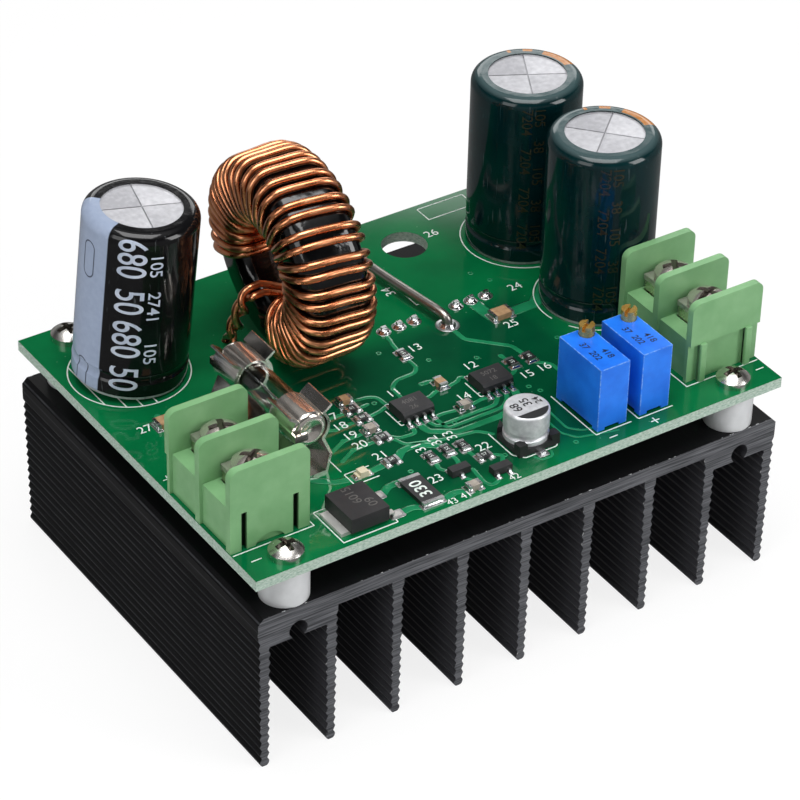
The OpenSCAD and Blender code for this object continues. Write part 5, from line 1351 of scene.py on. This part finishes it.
def figures(text, high, weight):
    """Flat mesh of figures of a height in mm, with its middle at the origin."""
    words = fresh(bpy.ops.object.text_add)
    words.data.body = text
    words.data.size = high / FIGURE_SHARE * MM
    words.data.offset = weight * MM
    words.data.align_x = words.data.align_y = "CENTER"
    bpy.ops.object.convert(target="MESH")
    return bpy.context.object


def on_top(text, high, x, y, z, turn, weight=0.0):
    """Figures lying flat at a place in mm, turned by degrees."""
    piece = figures(text, high, weight)
    place = Matrix.Translation(Vector((x, y, z)) * MM)
    piece.data.transform(place @ Matrix.Rotation(math.radians(turn), 4, "Z"))
    return piece


across = [
    (-5, -6.4), (7.5, -6.6), (3.4, 1), (2.6, -12.2), (13, -12.4), (16, -12.2), (-15.4, -6.7), (-15.4, -9.1),
    (-15.4, -11.6), (-15.4, -14), (-14.4, -17.4), (-1.6, -23), (-11, -25.6), (24, 6.2), (18.2, -1.2),
    (21.6, 24), (-38, 4.2),
]
upright = [(-9.1, -18.6), (-6.4, -18.4), (-4, -18.5), (8, 14.6)]
by_edge = [(-9.6, -30.6), (-1.9, -30.7), (-11.9, -30.8)]
numbers = [
    on_top(str(first + k), high, x, y, BOARD_TOP + SILK_RISE, turn)
    for first, high, turn, places in (
        (11, NUMBER_HIGH, 0, across), (31, NUMBER_HIGH, 90, upright), (41, EDGE_HIGH, 0, by_edge),
    )
    for k, (x, y) in enumerate(places)
]
added(joined("print_numbers", numbers), silk)
print("numbers:", len(numbers))

# %% Figures on the small parts
FACE_LIFT, BOLD, FIRM = 0.012, 0.03, 0.02
POWER_TOP, CHIP_TOP, CASE_TOP, REGULATOR_TOP, TRIMMER_TOP = 32.25, 32.1, 33.17, 34.3, 41.63
CHIP_HIGH, CASE_HIGH, REGULATOR_HIGH, CAN_HIGH, TRIMMER_HIGH = 0.55, 0.85, 1.3, 1.25, 1.0


def marked(name, finish, rows):
    """Figures on parts, from rows of text, height, place and top in mm, turn and weight."""
    pieces = [on_top(text, high, x, y, top + FACE_LIFT, *more) for text, high, x, y, top, *more in rows]
    added(joined(name, pieces), finish)
    print(name, len(pieces))


chips = [
    (-3.95, -21.5, 90), (-6.3, -21.2, 90), (-9, -21.4, 90), (1, 0.4, 90), (12.7, -9.2, 90), (15.5, -9.3, 90),
    (-2.8, -24.9, 0), (-13.9, -19.3, 0), (-12.1, -14.3, 0), (-12, -9.2, 0), (-12.1, -6.8, 0),
]
resistor_rows = [("330", 1.7, -14.3, -26.9, POWER_TOP, 90, BOLD)]
resistor_rows += [(str(51 + k), CHIP_HIGH, x, y, CHIP_TOP, turn) for k, (x, y, turn) in enumerate(chips)]
marked("resistor_marks", silk, resistor_rows)

laser = moulding("laser_marks", (74, 72, 70), (92, 90, 88), 0.5, 0.6)
marked("case_marks", laser, [
    ("4081", CASE_HIGH, -5.4, -10.7, CASE_TOP, 0), ("26", CASE_HIGH, -5.6, -12.2, CASE_TOP, 0),
    ("5072", CASE_HIGH, 7.5, -10.9, CASE_TOP, 0), ("18", CASE_HIGH, 7.3, -12.4, CASE_TOP, 0),
    ("6015", REGULATOR_HIGH, -24.3, -25.6, REGULATOR_TOP, 90),
    ("09", REGULATOR_HIGH, -22.8, -28, REGULATOR_TOP, 90),
])

ink = moulding("black_ink", (26, 26, 28), (40, 40, 42), 0.4, 0.55)
marked("can_marks", ink, [
    ("68", CAN_HIGH, 2.8, -24, SMALL_TOP, 90, BOLD), ("35", CAN_HIGH, 4.6, -23.6, SMALL_TOP, 90, BOLD),
    ("24", 1.0, 6.2, -24, SMALL_TOP, 90, BOLD),
])

navy = moulding("trimmer_ink", (10, 22, 58), (18, 34, 78), 0.4, 0.5)
marked("trimmer_marks", navy, [
    (text, TRIMMER_HIGH, x + aside, y, TRIMMER_TOP, -90, FIRM)
    for x in (15.7, 22.8)
    for text, aside, y in (("202", -0.9, -25), ("37", -0.9, -22.4), ("418", 0.8, -25.4))
])

# %% [markdown]
# ## Print on the sleeves
#
# A capacitor's figures are printed on the flat sleeve before it is shrunk on, so they run down the
# side and over the shoulder. Flat figures are cut fine, and each point is laid on the
# sleeve: its distance from the rim runs over the shoulder and down, its height round the can.

# %% Figures wrapped on a sleeve
SHOULDER_RUN = SHOULDER * math.pi / 2
PRINT_LIFT, PRINT_CUTS = 0.02, 2


def can_frame(middle, lean):
    """Turns the frame of an upright can into its place on the board."""
    towards = math.radians(LEAN_TOWARDS)
    return (
        Matrix.Translation(Vector(middle) * MM) @ Matrix.Rotation(towards, 4, "Z")
        @ Matrix.Rotation(math.radians(lean), 4, "Y") @ Matrix.Rotation(-towards, 4, "Z")
    )


def on_sleeve(run, angle, height):
    """Point on a sleeve, from the run down from the rim in mm and the angle in radians."""
    over_edge = min(max(run, 0) / SHOULDER, math.pi / 2)
    radius = CAN_RADIUS - SHOULDER + (SHOULDER + PRINT_LIFT) * math.sin(over_edge) + min(run, 0)
    rise = height - SHOULDER + (SHOULDER + PRINT_LIFT) * math.cos(over_edge) - max(run - SHOULDER_RUN, 0)
    return Vector((radius * math.cos(angle), radius * math.sin(angle), rise)) * MM


def wrapped(piece, run, angle, middle, lean, height):
    """Lays a flat piece on a sleeve, with its left end up and its top to the right."""
    chosen(piece)
    on_mesh(bpy.ops.mesh.subdivide, number_cuts=PRINT_CUTS)
    frame_of_can = can_frame(middle, lean)
    for vertex in piece.data.vertices:
        x, y = vertex.co.x / MM, vertex.co.y / MM
        vertex.co = frame_of_can @ on_sleeve(run + x, math.radians(angle) + y / CAN_RADIUS, height)
    return piece


def column(name, can, rows, angle, high, narrow, weight):
    """Figures one below the other, from pairs of text and its run from the rim in mm."""
    pieces = []
    for text, run in rows:
        piece = figures(text, high, weight)
        piece.data.transform(Matrix.Diagonal((narrow, 1, 1, 1)))
        pieces.append(wrapped(piece, run, angle, *can))
    return joined(name, pieces)


pale_ink = moulding("pale_ink", (166, 176, 194), (190, 198, 212), 0.3, 0.42)
can = (INPUT_CAN, LEAN, INPUT_HEIGHT)
large = [("680", 4.4), ("50", 11.2), ("680", 17.2), ("50", 23.6)]
main_print = column("black_can_print", can, large, angle=-129, high=3.9, narrow=0.72, weight=0.03)
added(main_print, pale_ink)
lesser = [("105", 5.4), ("2741", 12), ("105", 19.4)]
lesser_print = column("black_can_lot", can, lesser, angle=-104, high=1.7, narrow=1.0, weight=0.02)
added(lesser_print, pale_ink)

old_gold = moulding("old_gold_ink", (34, 34, 24), (48, 42, 26), 0.14, 0.22)
lot = [("7204", 4.2), ("7204", 10.6), ("7204", 17), ("7204", 23.2)]
heat = [("105", 3.4), ("38", 8.2), ("105", 13), ("38", 18), ("105", 22.6)]
for who, middle in (("rear", REAR_CAN), ("front", FRONT_CAN)):
    can = (middle, 0, OUTPUT_HEIGHT)
    for what, rows, angle in (("lot", lot, -125), ("heat", heat, -112)):
        print_rows = column(f"{who}_can_{what}", can, rows, angle, high=1.5, narrow=1.0, weight=0.01)
        added(print_rows, old_gold)
print("figures on three sleeves")
